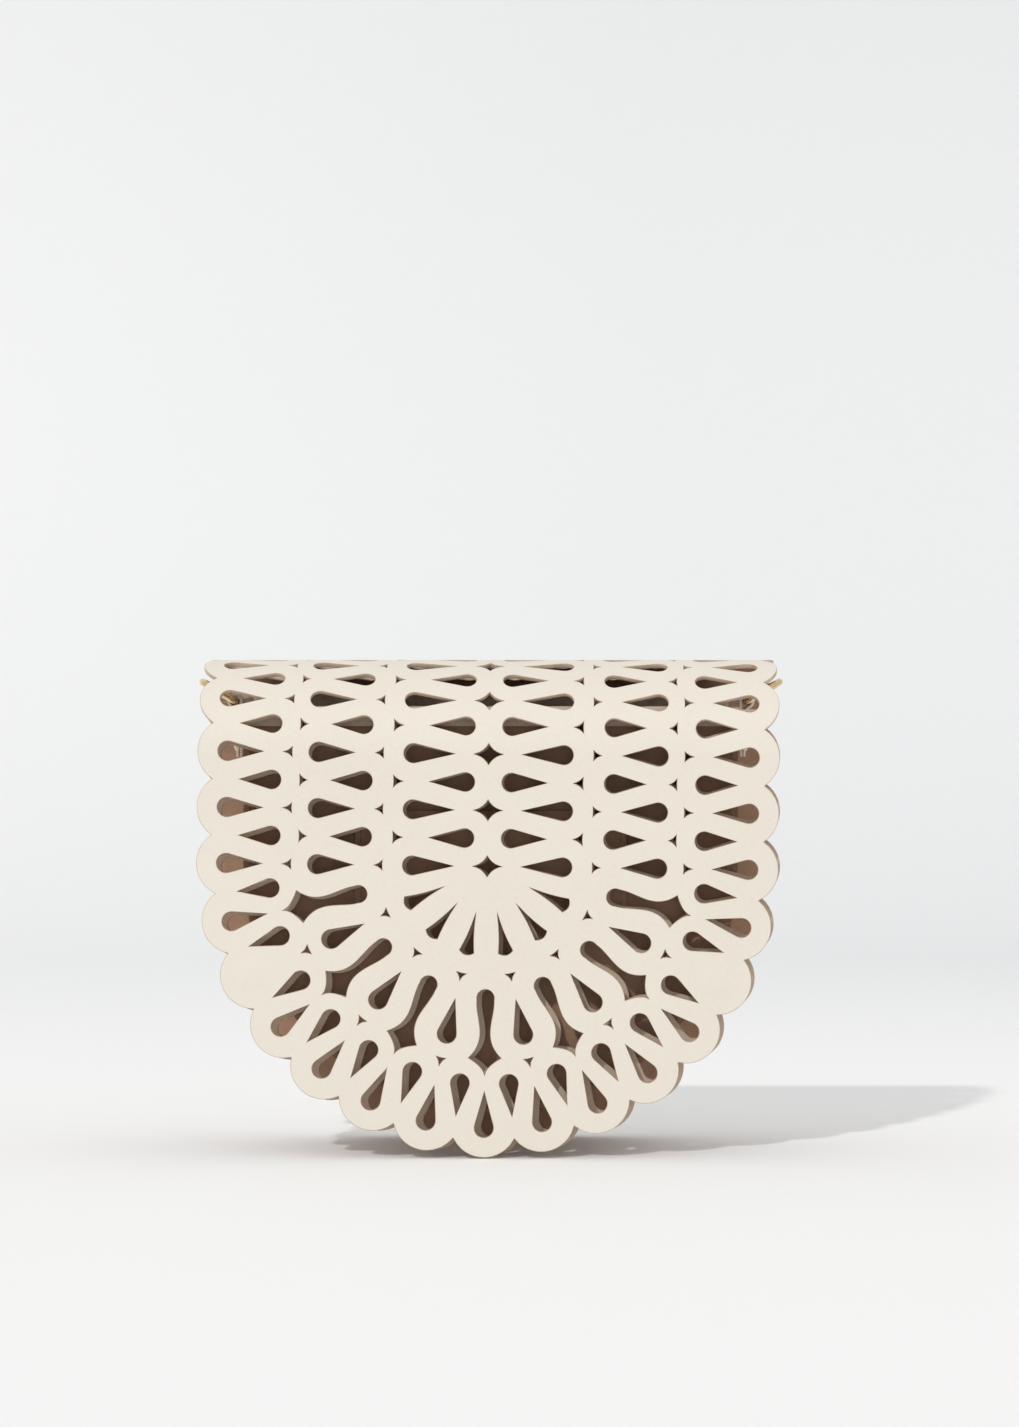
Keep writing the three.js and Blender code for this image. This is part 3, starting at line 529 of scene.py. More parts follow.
def lay_wrap(across, along, out):
    """The wrap over the round top. A small turn about a point above the flap fades out towards the seam,
    and the leather swells a little over each magnet, as a cosine bell with a flattened top."""
    for x, v in closure_centres:
        away = np.clip(np.hypot(across - x, along - v) / SWELL_REACH, 0, 1)
        out = out + MAGNET_SWELL * np.clip(SWELL_GAIN * (0.5 + 0.5 * np.cos(np.pi * away)), 0, 1)
    lean = SEWN_TURN * np.clip((TURN_END - along) / TURN_FADE, 0, 1)
    x = across + lean * (along - TURN_PIVOT)
    s = along - lean * across
    y, z = round_top(s, out, ROLL_CENTRE - FLAP_FAN)
    return np.stack([x, -y, z], axis=1)


swell_rows = np.arange(-0.050, -0.028, SWELL_SPACING)
swell_lattices = [(swell_rows, np.arange(x - 0.0085, x + 0.0085, SWELL_SPACING)) for x, v in closure_centres]
wrap = cut_leather(
    "wrap_cut",
    lace_loops(WRAP_TOP, 12),
    lay_wrap,
    LACE_PLY,
    lace_materials,
    [lattice(0.017, WRAP_TOP), *swell_lattices],
)
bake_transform(wrap)
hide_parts("roll_lace", "flap_lace")

# ---- Back seam ----
# The wrap and the back lace meet edge to edge along the top of the back. A soft ivory leather tape is glued
# behind, and short whip stitches of waxed thread draw the two edges together, so the wrap folds open there.

THREAD = (0.80, 0.74, 0.63, 1)
THREAD_SHADE = (0.62, 0.54, 0.43, 1)
TAPE_PLY = 0.0005
TAPE_HALF = (0.088, 0.0052)
TAPE_GAP = 0.00003
STITCH_LENGTH = 0.0026
STITCH_THICK = 0.0005
WHIP_COUNT = 48
WHIP_SLANT = 0.0005


def waxed_thread(name, colour, shade):
    """Twisted thread: fine slanting ridges from a wave texture, darker in the grooves, with a waxy shine."""
    material, dye = start_material(name)
    place = hide_place(dye, False)
    wave_values = {"Vector": place, "Scale": 900.0, "Distortion": 0.6, "Detail": 1.0}
    ridge = dye.node("ShaderNodeTexWave", {"bands_direction": "DIAGONAL"}, wave_values, "Fac")
    fuzz = noise(dye, place, 0.0006)
    tone = dye.mix((ridge * 0.7 + fuzz * 0.4).clipped(0.2, 0.9), shade, colour)
    finish_surface(dye, (0.6, 0.0001, ridge), {"Base Color": tone, "Roughness": 0.5 + fuzz * 0.2})
    return material


thread = waxed_thread("waxed thread", THREAD, THREAD_SHADE)
soft_hide = painted_hide("soft ivory hide", IVORY, IVORY_CREASE, 0.0012, 0.00008, 0.56)
soft_edge = painted_edge("tape edge", EDGE_PAINT, EDGE_PAINT_DARK)


def lay_tape(across, along, out):
    """The tape lies against the inside of the round top, its middle on the fold."""
    y, z = round_top(FOLD_ALONG + along, out - TAPE_PLY - TAPE_GAP, ROLL_CENTRE - FLAP_FAN)
    return np.stack([across, -y, z], axis=1)


def stitches(name, centres, along, outwards, length, thick, material=thread):
    """Copies of one stitch: six rings of six points with closed ends, thinner at the ends, where it dips into
    the leather by the fourth power of the distance from its middle."""
    t = np.array([-0.5, -0.42, -0.2, 0.2, 0.42, 0.5])
    girth = np.array([0.35, 0.8, 1, 1, 0.8, 0.35]) * thick / 2
    turn = np.arange(6) * np.pi / 3
    ahead = np.repeat(t * length, 6)
    beside = np.outer(girth, np.cos(turn)).ravel()
    above = (np.outer(girth, np.sin(turn)) + (thick * (0.2 - 14 * t**4))[:, None]).ravel()
    across = np.cross(outwards, along)
    points = centres[:, None] + ahead[:, None] * along[:, None]
    points = points + beside[:, None] * across[:, None] + above[:, None] * outwards[:, None]
    ring = np.arange(5)[:, None] * 6
    j, k = np.arange(6)[None], (np.arange(6)[None] + 1) % 6
    sides = np.stack([ring + j, ring + 6 + j, ring + 6 + k, ring + k], axis=-1).reshape(-1, 4)
    first = np.arange(len(centres)) * 36
    faces = (sides[None] + first[:, None, None]).reshape(-1, 4).tolist()
    faces += (np.arange(6)[None] + first[:, None]).tolist()
    faces += (np.arange(35, 29, -1)[None] + first[:, None]).tolist()
    return new_piece(name, points.reshape(-1, 3), faces, [material])


tape_outline = np.array(TAPE_HALF) * [(1, -1), (1, 1), (-1, 1), (-1, -1)]
tape_lattice = lattice(-0.0050, 0.0050, 0.0012, 0.0875)
tape = cut_leather(
    "back_seam_tape", [tape_outline], lay_tape, TAPE_PLY, [soft_hide, soft_hide, soft_edge], [tape_lattice]
)
whip_x = np.linspace(-0.094, 0.094, WHIP_COUNT)
whip_y, whip_z = lay_tape(np.zeros(3), np.array([-0.001, 0, 0.001]), np.full(3, TAPE_PLY + LACE_PLY))[:, 1:].T
whip_along = np.array([WHIP_SLANT, whip_y[2] - whip_y[0], whip_z[2] - whip_z[0]])
whip_along /= np.linalg.norm(whip_along)
whip_out = np.array([0, whip_z[0] - whip_z[2], whip_y[2] - whip_y[0]])
whip_out *= np.sign(whip_out[2]) / np.linalg.norm(whip_out)
whip_centres = np.column_stack([whip_x, np.tile([whip_y[1], whip_z[1]], (WHIP_COUNT, 1))])
whip = stitches(
    "back_seam_stitches",
    whip_centres,
    np.tile(whip_along, (WHIP_COUNT, 1)),
    np.tile(whip_out, (WHIP_COUNT, 1)),
    STITCH_LENGTH,
    STITCH_THICK,
)
for seam_part in (tape, whip):
    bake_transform(seam_part)

# ---- Front lace ----
# A third panel of lace behind the flap, cut square at the pouch's mouth. It stands just in front of the
# binding, glued to it along the top, so it moves with the body. Its grain side is a darker, warmer beige than
# the flap's ivory: painted shade, so the layers seen behind the flap look warm and dark.

# Painted shade: a darker, warmer beige than the ivory, given to the front lace and the binding so they look
# shaded behind the flap.
BEIGE_PAINTED_SHADE = (0.66, 0.53, 0.42, 1)
BEIGE_PAINTED_SHADE_CREASE = (0.55, 0.43, 0.33, 1)
front_low, front_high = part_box("front_lace")


def lay_front(across, along, out):
    """The front lace stands straight up, its grain side forwards."""
    return np.stack([across, front_high.y - out, front_low.z + FAN_REACH + along], axis=1)


front_top = front_high.z - front_low.z - FAN_REACH
front_materials = [
    painted_hide("front lace grain in painted shade", BEIGE_PAINTED_SHADE, BEIGE_PAINTED_SHADE_CREASE, 0.0009, 0.00005, 0.55, True),
    *lace_materials[1:],
]
front_lace = cut_leather("front_lace_cut", lace_loops(front_top, 5), lay_front, LACE_PLY, front_materials)
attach(front_lace, "body")
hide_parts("front_lace")

# ---- Pouch ----
# A U-shaped pouch of thinner brown leather: a front and a back panel sewn to a gusset that runs down one
# side, round the bottom and up the other. The edges are painted, with a line of stitches inside them.

pouch_low, pouch_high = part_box("pouch_front")
back_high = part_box("pouch_back")[1]
POUCH_RADIUS = pouch_high.x
POUCH_CENTRE = pouch_low.z + POUCH_RADIUS
MOUTH = pouch_high.z
PANEL_PLY = 0.0012
GUSSET_PLY = 0.0014
FRONT_SAG = 0.0005
BACK_SAG = 0.0026
SAG_FADE = 0.06  # the panels give less and less over this distance below the mouth
GROOVE_START = 0.0011  # the groove beside a panel's edge, as distances from the panel's outer face
GROOVE_END = 0.0016
GROOVE_DEEP = 0.00035
GUSSET_DRAWN = 0.0002
SEAM_INSET = 0.0024
SEAM_PITCH = 0.0032


def grid_faces(rows, columns, join_rows=False, join_columns=False):
    """Quads of a grid of points numbered row by row. Joined rows or columns close it on itself."""
    r = np.arange(rows if join_rows else rows - 1)[:, None]
    c = np.arange(columns if join_columns else columns - 1)[None]
    below, beside = (r + 1) % rows, (c + 1) % columns
    quads = [r * columns + c, r * columns + beside, below * columns + beside, below * columns + c]
    return np.stack(quads, axis=-1).reshape(-1, 4)


def weld(piece, crease_degrees):
    """Merges the points that lie on each other at seams and poles, turns the faces outwards and creases the
    edges that bend by more than an angle."""
    work = bmesh.new()
    work.from_mesh(piece.data)
    bmesh.ops.remove_doubles(work, verts=work.verts, dist=1e-6)
    bmesh.ops.dissolve_degenerate(work, edges=work.edges, dist=1e-7)
    bmesh.ops.recalc_face_normals(work, faces=work.faces)
    work.to_mesh(piece.data)
    work.free()
    piece.data.set_sharp_from_angle(angle=np.radians(crease_degrees))
    return piece


def sagged(reach, y, z):
    """How far the soft panels give: most at the middle, nothing at the edge or the mouth. The front panel
    gives inwards and the back panel outwards, both towards the back."""
    middle = 1 - np.clip(reach / POUCH_RADIUS, 0, 1) ** 2
    rise = np.clip((MOUTH - z) / SAG_FADE, 0, 1)
    return np.where(y < 0, FRONT_SAG, BACK_SAG) * middle * rise * rise * (3 - 2 * rise)


def u_shell(name, outer, inner, top, materials):
    """A U-shaped shell open at the top. outer and inner are profiles of (reach, depth) from the middle of the
    front to the middle of the back. A reach is carried down one side, round the half circle and up the
    other side; at reach 0 the two sides meet, and are welded. The rim joins the profiles at the top."""
    heights = np.linspace(top - POUCH_CENTRE, 0, 12)
    turn = np.concatenate([np.zeros(11), np.linspace(0, np.pi, 73), np.full(11, np.pi)])
    height = np.concatenate([heights[:-1], np.zeros(73), heights[-2::-1]])
    profile = np.concatenate([outer, inner[::-1]])
    reach, depth = profile[:, :1], profile[:, 1:]
    x = reach * np.cos(turn)
    z = POUCH_CENTRE + height - reach * np.sin(turn)
    y = depth + sagged(reach, depth, z)
    points = np.stack([x, y + 0 * x, z], axis=-1).reshape(-1, 3)
    columns = len(turn)
    count = len(outer)
    quads = grid_faces(2 * count, columns)
    quads = np.delete(quads, np.s_[(count - 1) * (columns - 1) : count * (columns - 1)], axis=0)
    i = np.arange(count - 1)
    near, far = i * columns, (i + 1) * columns
    inner_near, inner_far = (2 * count - 1 - i) * columns, (2 * count - 2 - i) * columns
    rim = np.stack([near, far, inner_far, inner_near], axis=1)
    other_rim = rim[:, ::-1] + columns - 1
    faces = np.concatenate([quads, rim, other_rim])
    piece = new_piece(name, points, faces.tolist(), materials)
    half = len(quads) // 2
    piece.data.polygons.foreach_set("material_index", np.repeat([0, 1, 2], [half, half, 2 * len(rim)]))
    return weld(piece, 50)


def edge_profile(radius, front, back, corner):
    """Profile round the panels' painted edges and over the gusset, with a fine groove where each panel's
    edge meets the gusset and the gusset drawn in a hair between them."""
    panel = np.array([0, 0.012, 0.024, 0.036, 0.048, 0.058, 0.067, 0.075, 0.081, 0.085])
    arc = np.linspace(0, np.pi / 2, 5)
    round_reach = radius - corner + corner * np.sin(arc)
    round_depth = corner - corner * np.cos(arc)
    groove_middle = (GROOVE_START + GROOVE_END) / 2
    groove = [[radius, GROOVE_START], [radius - GROOVE_DEEP, groove_middle], [radius, GROOVE_END]]
    half = np.concatenate(
        [np.stack([panel, 0 * panel], axis=1), np.stack([round_reach, round_depth], axis=1), groove]
    )
    span = back - front
    middle = np.linspace(GROOVE_END, span - GROOVE_END, 9)[1:-1]
    drawn = radius - GUSSET_DRAWN * np.sin(np.pi * middle / span)
    left = half + (0, front)
    right = half[::-1] * (1, -1) + (0, back)
    return np.concatenate([left, np.stack([drawn, front + middle], axis=1), right])


pouch_outer = edge_profile(POUCH_RADIUS, pouch_low.y, back_high.y, 0.0004)
pouch_inner = pouch_outer.copy()
pouch_inner[:, 0] = np.minimum(pouch_outer[:, 0], POUCH_RADIUS - GUSSET_PLY - 0.0001)
pouch_inner[:, 1] = np.clip(pouch_outer[:, 1], pouch_low.y + PANEL_PLY, back_high.y - PANEL_PLY)
pouch = u_shell("pouch_shell", pouch_outer, pouch_inner, MOUTH, [brown_hide, brown_hide_raw, brown_edge])
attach(pouch, "body")
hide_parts("pouch_front", "pouch_back", "pouch_gusset")


def spaced(path, pitch):
    """Points evenly spaced along a line of points, and the direction of the line at each."""
    step = np.diff(path, axis=0)
    length = np.concatenate([[0], np.cumsum(np.linalg.norm(step, axis=1))])
    at = (np.arange(int(length[-1] / pitch)) + 0.5) * length[-1] / int(length[-1] / pitch)
    points = np.stack([np.interp(at, length, axis) for axis in path.T], axis=1)
    direction = step[np.clip(np.searchsorted(length, at) - 1, 0, len(step) - 1)]
    return points, direction / np.linalg.norm(direction, axis=1)[:, None]


brown_thread = waxed_thread("brown thread", (0.36, 0.25, 0.17, 1), (0.22, 0.14, 0.09, 1))
seam_turn = np.linspace(0, np.pi, 91)
seam_reach = POUCH_RADIUS - SEAM_INSET
seam_line = np.stack([seam_reach * np.cos(seam_turn), POUCH_CENTRE - seam_reach * np.sin(seam_turn)], axis=1)
seam_side = np.array([[seam_reach, MOUTH - 0.008]])
seam_line = np.concatenate([seam_side, seam_line, seam_side * (-1, 1)])
seam_at, seam_way = spaced(seam_line, SEAM_PITCH)
for panel_name, panel_y, out_y in (("front", pouch_low.y, -1.0), ("back", back_high.y, 1.0)):
    seam_y = panel_y + sagged(seam_reach, np.full(len(seam_at), panel_y), seam_at[:, 1])
    centres = np.stack([seam_at[:, 0], seam_y, seam_at[:, 1]], axis=1)
    ways = np.stack([seam_way[:, 0], 0 * seam_y, seam_way[:, 1]], axis=1)
    outs = np.tile([0, out_y, 0], (len(centres), 1))
    seam_name = f"pouch_seam_{panel_name}"
    seam = stitches(seam_name, centres, ways, outs, STITCH_LENGTH, STITCH_THICK, brown_thread)
    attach(seam, "body")

# ---- Lining and board ----
# Brown cotton twill, sewn as a pouch of its own inside the leather. A thin pressed-fibre board between
# the two keeps the bottom round.

TWILL = (0.27, 0.185, 0.125, 1)
TWILL_DARK = (0.20, 0.13, 0.085, 1)
BOARD = (0.33, 0.26, 0.19, 1)
BOARD_DARK = (0.22, 0.165, 0.12, 1)

twill, dye = start_material("cotton twill")
twill_place = hide_place(dye, False)
twill_values = {"Vector": twill_place, "Scale": 420.0, "Distortion": 0.3, "Detail": 1.0}
twill_rib = dye.node("ShaderNodeTexWave", {"bands_direction": "DIAGONAL"}, twill_values, "Fac")
twill_slub = noise(dye, twill_place, 0.0015, 3.0)
twill_tone = dye.mix((twill_rib * 0.7 + twill_slub * 0.5).clipped(0.3, 1.0), TWILL_DARK, TWILL)
twill_finish = {"Base Color": twill_tone, "Roughness": 0.88 + twill_slub * 0.08}
finish_surface(dye, (0.6, 0.0001, twill_rib), twill_finish)

lining_low, lining_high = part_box("lining_front")
lining_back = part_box("lining_back")[1].y
lining_outer = edge_profile(lining_high.x, lining_low.y, lining_back, 0.0004)
lining_inner = lining_outer.copy()
lining_inner[:, 0] = np.minimum(lining_outer[:, 0], lining_high.x - 0.0009)
lining_inner[:, 1] = np.clip(lining_outer[:, 1], lining_low.y + 0.0005, lining_back - 0.0005)
lining = u_shell("lining_shell", lining_outer, lining_inner, MOUTH, [twill, twill, twill])
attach(lining, "body")
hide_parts("lining_front", "lining_back", "lining_gusset")

board, dye = start_material("pressed fibre board")
board_place = hide_place(dye, False)
board_fibre = noise(dye, board_place, 0.0008, 5.0, 0.7)
board_blotch = noise(dye, board_place, 0.008)
board_tone = dye.mix((board_fibre * 0.7 + board_blotch * 0.4).clipped(0.3, 0.8), BOARD, BOARD_DARK)
board_finish = {"Base Color": board_tone, "Roughness": 0.9 + board_fibre * 0.05}
finish_surface(dye, (0.5, 0.0001, board_fibre), board_finish)


def refinish(node, material):
    """Gives a CAD node one material of its own."""
    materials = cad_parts[node].data.materials
    materials.clear()
    materials.append(material)


refinish("gusset_stiffener", board)

# ---- Mouth binding ----
# One strip of soft leather folded over the edges of pouch and lining, right round the mouth, and
# sewn through near its lower edge. It takes the front lace's darker beige, which is painted shade where the
# binding is seen through the holes.

BINDING_PLY = 0.0008
BINDING_FOLD = 0.0012  # how round the fold is on its outside
BINDING_SEAM_RISE = 0.0014
FINE_STITCH_THICK = 0.0004
binding_front_low, binding_front_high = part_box("binding_front")
binding_back_low, binding_back_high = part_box("binding_back")
binding_side_low, binding_side_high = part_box("binding_right")


def rounded_box(half_x, low_y, high_y, radius):
    """A rectangle with round corners, walked anticlockwise, with the same number of points for any size."""
    turn = np.linspace(0, np.pi / 2, 9)
    corners = []
    for quarter, (x, y) in enumerate([(1, 1), (-1, 1), (-1, -1), (1, -1)]):
        angle = turn + quarter * np.pi / 2
        centre = (x * (half_x - radius), high_y - radius if y > 0 else low_y + radius)
        corners.append(np.stack([np.cos(angle), np.sin(angle)], axis=1) * radius + centre)
    ring = np.concatenate(corners)
    following = np.roll(ring, -1, axis=0)
    part = np.arange(3)[:, None] / 3
    return (ring[:, None] * (1 - part) + following[:, None] * part).reshape(-1, 2)


binding_out = rounded_box(binding_side_high.x, binding_front_low.y, binding_back_high.y, 0.0026)
binding_in = rounded_box(binding_side_low.x, binding_front_high.y, binding_back_low.y, 0.0018)
binding_gap = np.linalg.norm(binding_in - binding_out, axis=1)
binding_bottom = binding_front_low.z
binding_top = binding_front_high.z


def folded_profile(inset, top):
    """Half the fold, from its lower edge to its top: straight up, then a quarter round. Each point is how
    far it is from the outer side, and its height."""
    turn = np.linspace(0, np.pi / 2, 6)
    radius = BINDING_FOLD - 0.5 * inset
    rise = np.linspace(binding_bottom, top - radius, 5)[:-1]
    straight = np.stack([np.full(4, inset), rise], axis=1)
    bend = np.stack([inset + radius - radius * np.cos(turn), top - radius + radius * np.sin(turn)], axis=1)
    return np.concatenate([straight, bend])


def fold_point(side, away, height):
    """Points all along the mouth at a distance from the outer side, or from the inner side."""
    part = away / binding_gap if side == 0 else 1 - away / binding_gap
    plan = binding_out + (binding_in - binding_out) * part[:, None]
    return np.column_stack([plan, np.full(len(plan), height)])


outer_fold = folded_profile(0.0, binding_top)
inner_fold = folded_profile(BINDING_PLY, binding_top - BINDING_PLY)
fold_rows = [fold_point(0, away, height) for away, height in outer_fold]
fold_rows += [fold_point(1, away, height) for away, height in outer_fold[::-1]]
fold_rows += [fold_point(1, away, height) for away, height in inner_fold]
fold_rows += [fold_point(0, away, height) for away, height in inner_fold[::-1]]
binding_faces = grid_faces(len(fold_rows), len(binding_out), True, True)
# Painted shade: the binding takes the front lace's darker beige, not the flap's ivory.
binding_painted_shade_hide = painted_hide("binding hide in painted shade", BEIGE_PAINTED_SHADE, BEIGE_PAINTED_SHADE_CREASE, 0.0012, 0.00008, 0.58)
binding = new_piece("mouth_binding", np.concatenate(fold_rows), binding_faces.tolist(), [binding_painted_shade_hide])
weld(binding, 55)
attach(binding, "body")
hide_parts("binding_front", "binding_back", "binding_left", "binding_right")

binding_loop = np.concatenate([binding_out, binding_out[:1]])
binding_at, binding_way = spaced(binding_loop, SEAM_PITCH)
flat_way = np.column_stack([binding_way, np.zeros(len(binding_way))])
binding_outs = np.column_stack([binding_way[:, 1], -binding_way[:, 0], np.zeros(len(binding_way))])
binding_centres = np.column_stack([binding_at, np.full(len(binding_at), binding_bottom + BINDING_SEAM_RISE)])
binding_seam = stitches(
    "binding_stitches", binding_centres, flat_way, binding_outs, STITCH_LENGTH, FINE_STITCH_THICK
)
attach(binding_seam, "body")

# ---- Card pocket ----
# A patch of brown leather on the front of the pouch, behind the front lace, sewn down its sides and along
# its round-cornered bottom and left open at the top.

pocket_low, pocket_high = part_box("card_pocket")
POCKET_CORNER = 0.009
POCKET_PLY = 0.001
POCKET_SEAM_INSET = 0.0022


def pocket_line(inset):
    """The patch's sides and bottom, moved in: down the left, round both lower corners and up the right."""
    turn = np.linspace(0, np.pi / 2, 9)
    radius = POCKET_CORNER - inset
    x = pocket_high.x - POCKET_CORNER + radius * np.sin(turn)
    z = pocket_low.z + POCKET_CORNER - radius * np.cos(turn)
    right = np.stack([x, z], axis=1)
    right = np.concatenate([right, [[pocket_high.x - inset, pocket_high.z - inset]]])
    return np.concatenate([right[::-1] * (-1, 1), right])


def lay_pocket(across, along, out):
    """The patch lies on the front panel and gives with it."""
    y = pocket_high.y - out
    reach = np.where(along < POUCH_CENTRE, np.hypot(across, along - POUCH_CENTRE), np.abs(across))
    return np.stack([across, y + sagged(reach, y, along), along], axis=1)


pocket_rows = np.arange(pocket_low.z, pocket_high.z, 0.004)
pocket = cut_leather(
    "card_pocket_patch",
    [pocket_line(0.0)],
    lay_pocket,
    POCKET_PLY,
    [brown_hide, brown_hide_raw, brown_edge],
    [(pocket_rows, np.arange(-0.048, 0.048, 0.004))],
)
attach(pocket, "body")
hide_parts("card_pocket")

pocket_at, pocket_way = spaced(pocket_line(POCKET_SEAM_INSET), SEAM_PITCH)
pocket_centres = lay_pocket(*pocket_at.T, np.full(len(pocket_at), POCKET_PLY))
pocket_ways = np.stack([pocket_way[:, 0], 0 * pocket_way[:, 0], pocket_way[:, 1]], axis=1)
pocket_outs = np.tile([0, -1.0, 0], (len(pocket_at), 1))
pocket_seam = stitches(
    "pocket_stitches",
    pocket_centres,
    pocket_ways,
    pocket_outs,
    STITCH_LENGTH,
    FINE_STITCH_THICK,
    brown_thread,
)
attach(pocket_seam, "body")

# ---- Magnet closures ----
# Two thin magnets on each side in the solid scallops, each under a moulded leather cap that is glued to the
# lace: one cap behind the flap and one on the front lace meet it.

CAP_WALL = 0.0012
CAP_BASE = 0.0007
CAP_SHOULDER = 0.0012  # how round the cap's rim is
CAP_CROWN = 0.00015  # how far the domed top rises above the rim


def revolved(name, profile, place, materials, steps, crease_degrees=40):
    """A profile of (radius, height) from the axis back to the axis, turned about it; place(a, b, height)
    puts it in its place."""
    profile = np.array(profile)
    turn = np.arange(steps) * 2 * np.pi / steps
    a = profile[:, :1] * np.cos(turn)
    b = profile[:, :1] * np.sin(turn)
    points = place(a.ravel(), b.ravel(), np.repeat(profile[:, 1], steps))
    faces = grid_faces(len(profile), steps, False, True)
    return weld(new_piece(name, points, faces.tolist(), materials), crease_degrees)


def cap_profile(radius, height):
    """A cap with a domed top, a rolled rim, a straight wall and a flat-bottomed hollow for the magnet. Each
    point is its distance from the axis and its height."""
    dome = [(0, height), (radius * 0.35, height - 0.00002), (radius * 0.65, height - 0.00012)]
    turn = np.linspace(0, np.pi / 2, 6)
    rim_radius = radius - CAP_SHOULDER + CAP_SHOULDER * np.sin(turn)
    rim_height = height - CAP_CROWN - CAP_SHOULDER * (1 - np.cos(turn))
    rim = np.stack([rim_radius, rim_height], axis=1).tolist()
    hollow = radius - CAP_WALL
    floor = height - CAP_BASE
    return [*dome, *rim, (radius, 0), (hollow, 0), (hollow, floor), (0, floor)]


nickel, dye = start_material("nickel plate")
nickel_place = hide_place(dye, False)
nickel_cloud = noise(dye, nickel_place, 0.004, 3.0)
nickel_tone = dye.mix(nickel_cloud, (0.56, 0.56, 0.55, 1), (0.45, 0.45, 0.46, 1))
nickel_finish = {"Base Color": nickel_tone, "Metallic": 1.0, "Roughness": 0.24 + nickel_cloud * 0.16}
finish_surface(dye, (0.2, 0.00003, nickel_cloud), nickel_finish)

for where in ("left", "right"):
    for holder, body, outwards in (("body", "body", -1), ("flap", "flap", 1)):
        node = f"{holder}_magnet_cover_{where}"
        low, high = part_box(node)
        centre = (low + high) / 2
        base_y = high.y if outwards < 0 else low.y

        def lay_cap(a, b, height, centre=centre, base_y=base_y, outwards=outwards):
            """The cap stands out from its lace, towards the front or the back."""
            return np.stack([centre.x + a, base_y + outwards * height, centre.z + b], axis=1)

        cap = revolved(
            f"{node}_cap", cap_profile((high.x - low.x) / 2, high.y - low.y), lay_cap, [soft_hide], 40
        )
        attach(cap, body)
        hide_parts(node)
        refinish(f"{holder}_magnet_{where}", nickel)

# ---- Strap rings ----
# On each side a leather tab is folded round a ring of pale gold-plated wire and riveted through the gusset.
# The rings take a strap's clips.

GOLD = (0.80, 0.62, 0.36, 1)
GOLD_DEEP = (0.66, 0.48, 0.25, 1)
WIRE_RADIUS = 0.0012
RING_HALF = 0.0082
RING_LEG = 0.006
RING_CORNER = 0.0018
RING_LEAN = np.radians(30)
TAB_WIDTH = 0.013
TAB_PLY = 0.0011
TAB_CORNER = 0.0004
TAB_EYE = 0.0028  # from the tab's inner face to the middle of the ring's bar
TAB_BEND_END = -62  # degrees round the bar at which the tab leaves it
TAB_SETTLE = 0.0062  # below the bar, where the tab's two layers lie flat together
TAB_GAP = 0.0001

gold, dye = start_material("pale gold plate")
gold_place = hide_place(dye, False)
gold_cloud = noise(dye, gold_place, 0.003, 3.0)
gold_drawn = dye.node("ShaderNodeMapping", {}, {"Vector": gold_place, "Scale": (1, 0.15, 1)})
gold_brush = noise(dye, gold_drawn, 0.0003, 3.0)
gold_tone = dye.mix(gold_cloud.clipped(0.3, 0.75), GOLD, GOLD_DEEP)
gold_finish = {"Base Color": gold_tone, "Metallic": 1.0, "Roughness": 0.16 + gold_brush * 0.18}
finish_surface(dye, (0.15, 0.00003, gold_brush), gold_finish)


def swept(name, path, ahead, upright, section, materials, closed):
    """A section of (across, upright) offsets carried along a path. ahead is the path's direction at each
    point and upright the second axis; the first is at right angles to both. Open ends are closed flat."""
    across = np.cross(ahead, upright)
    points = path[:, None] + section[None, :, :1] * across[:, None] + section[None, :, 1:] * upright[:, None]
    faces = grid_faces(len(path), len(section), closed, True).tolist()
    if not closed:
        last = (len(path) - 1) * len(section)
        faces += [list(range(len(section)))[::-1], list(range(last, last + len(section)))]
    return weld(new_piece(name, points.reshape(-1, 3), faces, materials), 60)


def arc_points(x, y, radius, start, stop, steps):
    """Points on an arc between two angles in degrees."""
    turn = np.radians(np.linspace(start, stop, steps))
    return np.stack([x + radius * np.cos(turn), y + radius * np.sin(turn)], axis=1)


ring_line = np.concatenate(
    [
        np.stack([np.zeros(12), np.linspace(RING_CORNER - RING_HALF, RING_HALF - RING_CORNER, 12)], axis=1),
        arc_points(RING_CORNER, RING_HALF - RING_CORNER, RING_CORNER, 180, 90, 9)[1:],
        arc_points(RING_LEG, 0, RING_HALF, 90, -90, 41),
        arc_points(RING_CORNER, RING_CORNER - RING_HALF, RING_CORNER, 270, 180, 9)[:-1],
    ]
)
wire_turn = np.linspace(0, 2 * np.pi, 17)[:-1]
wire_section = WIRE_RADIUS * np.stack([np.cos(wire_turn), np.sin(wire_turn)], axis=1)

# The tab: up the inside, round the ring's bar, and down the outside to the rivet.
tab_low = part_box("tab_right")[0]
corner_x = TAB_PLY / 2 - TAB_CORNER
corner_y = TAB_WIDTH / 2 - TAB_CORNER
tab_section = np.concatenate(
    [
        arc_points(x * corner_x, y * corner_y, TAB_CORNER, start, start + 90, 5)
        for x, y, start in ((1, 1, 0), (-1, 1, 90), (-1, -1, 180), (1, -1, 270))
    ]
)
rivet_low, rivet_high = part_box("rivet_right")
RIVET_HEAD = (rivet_high.y - rivet_low.y) / 2
RIVET_SHANK = 0.0013
RIVET_DOME = 0.0011

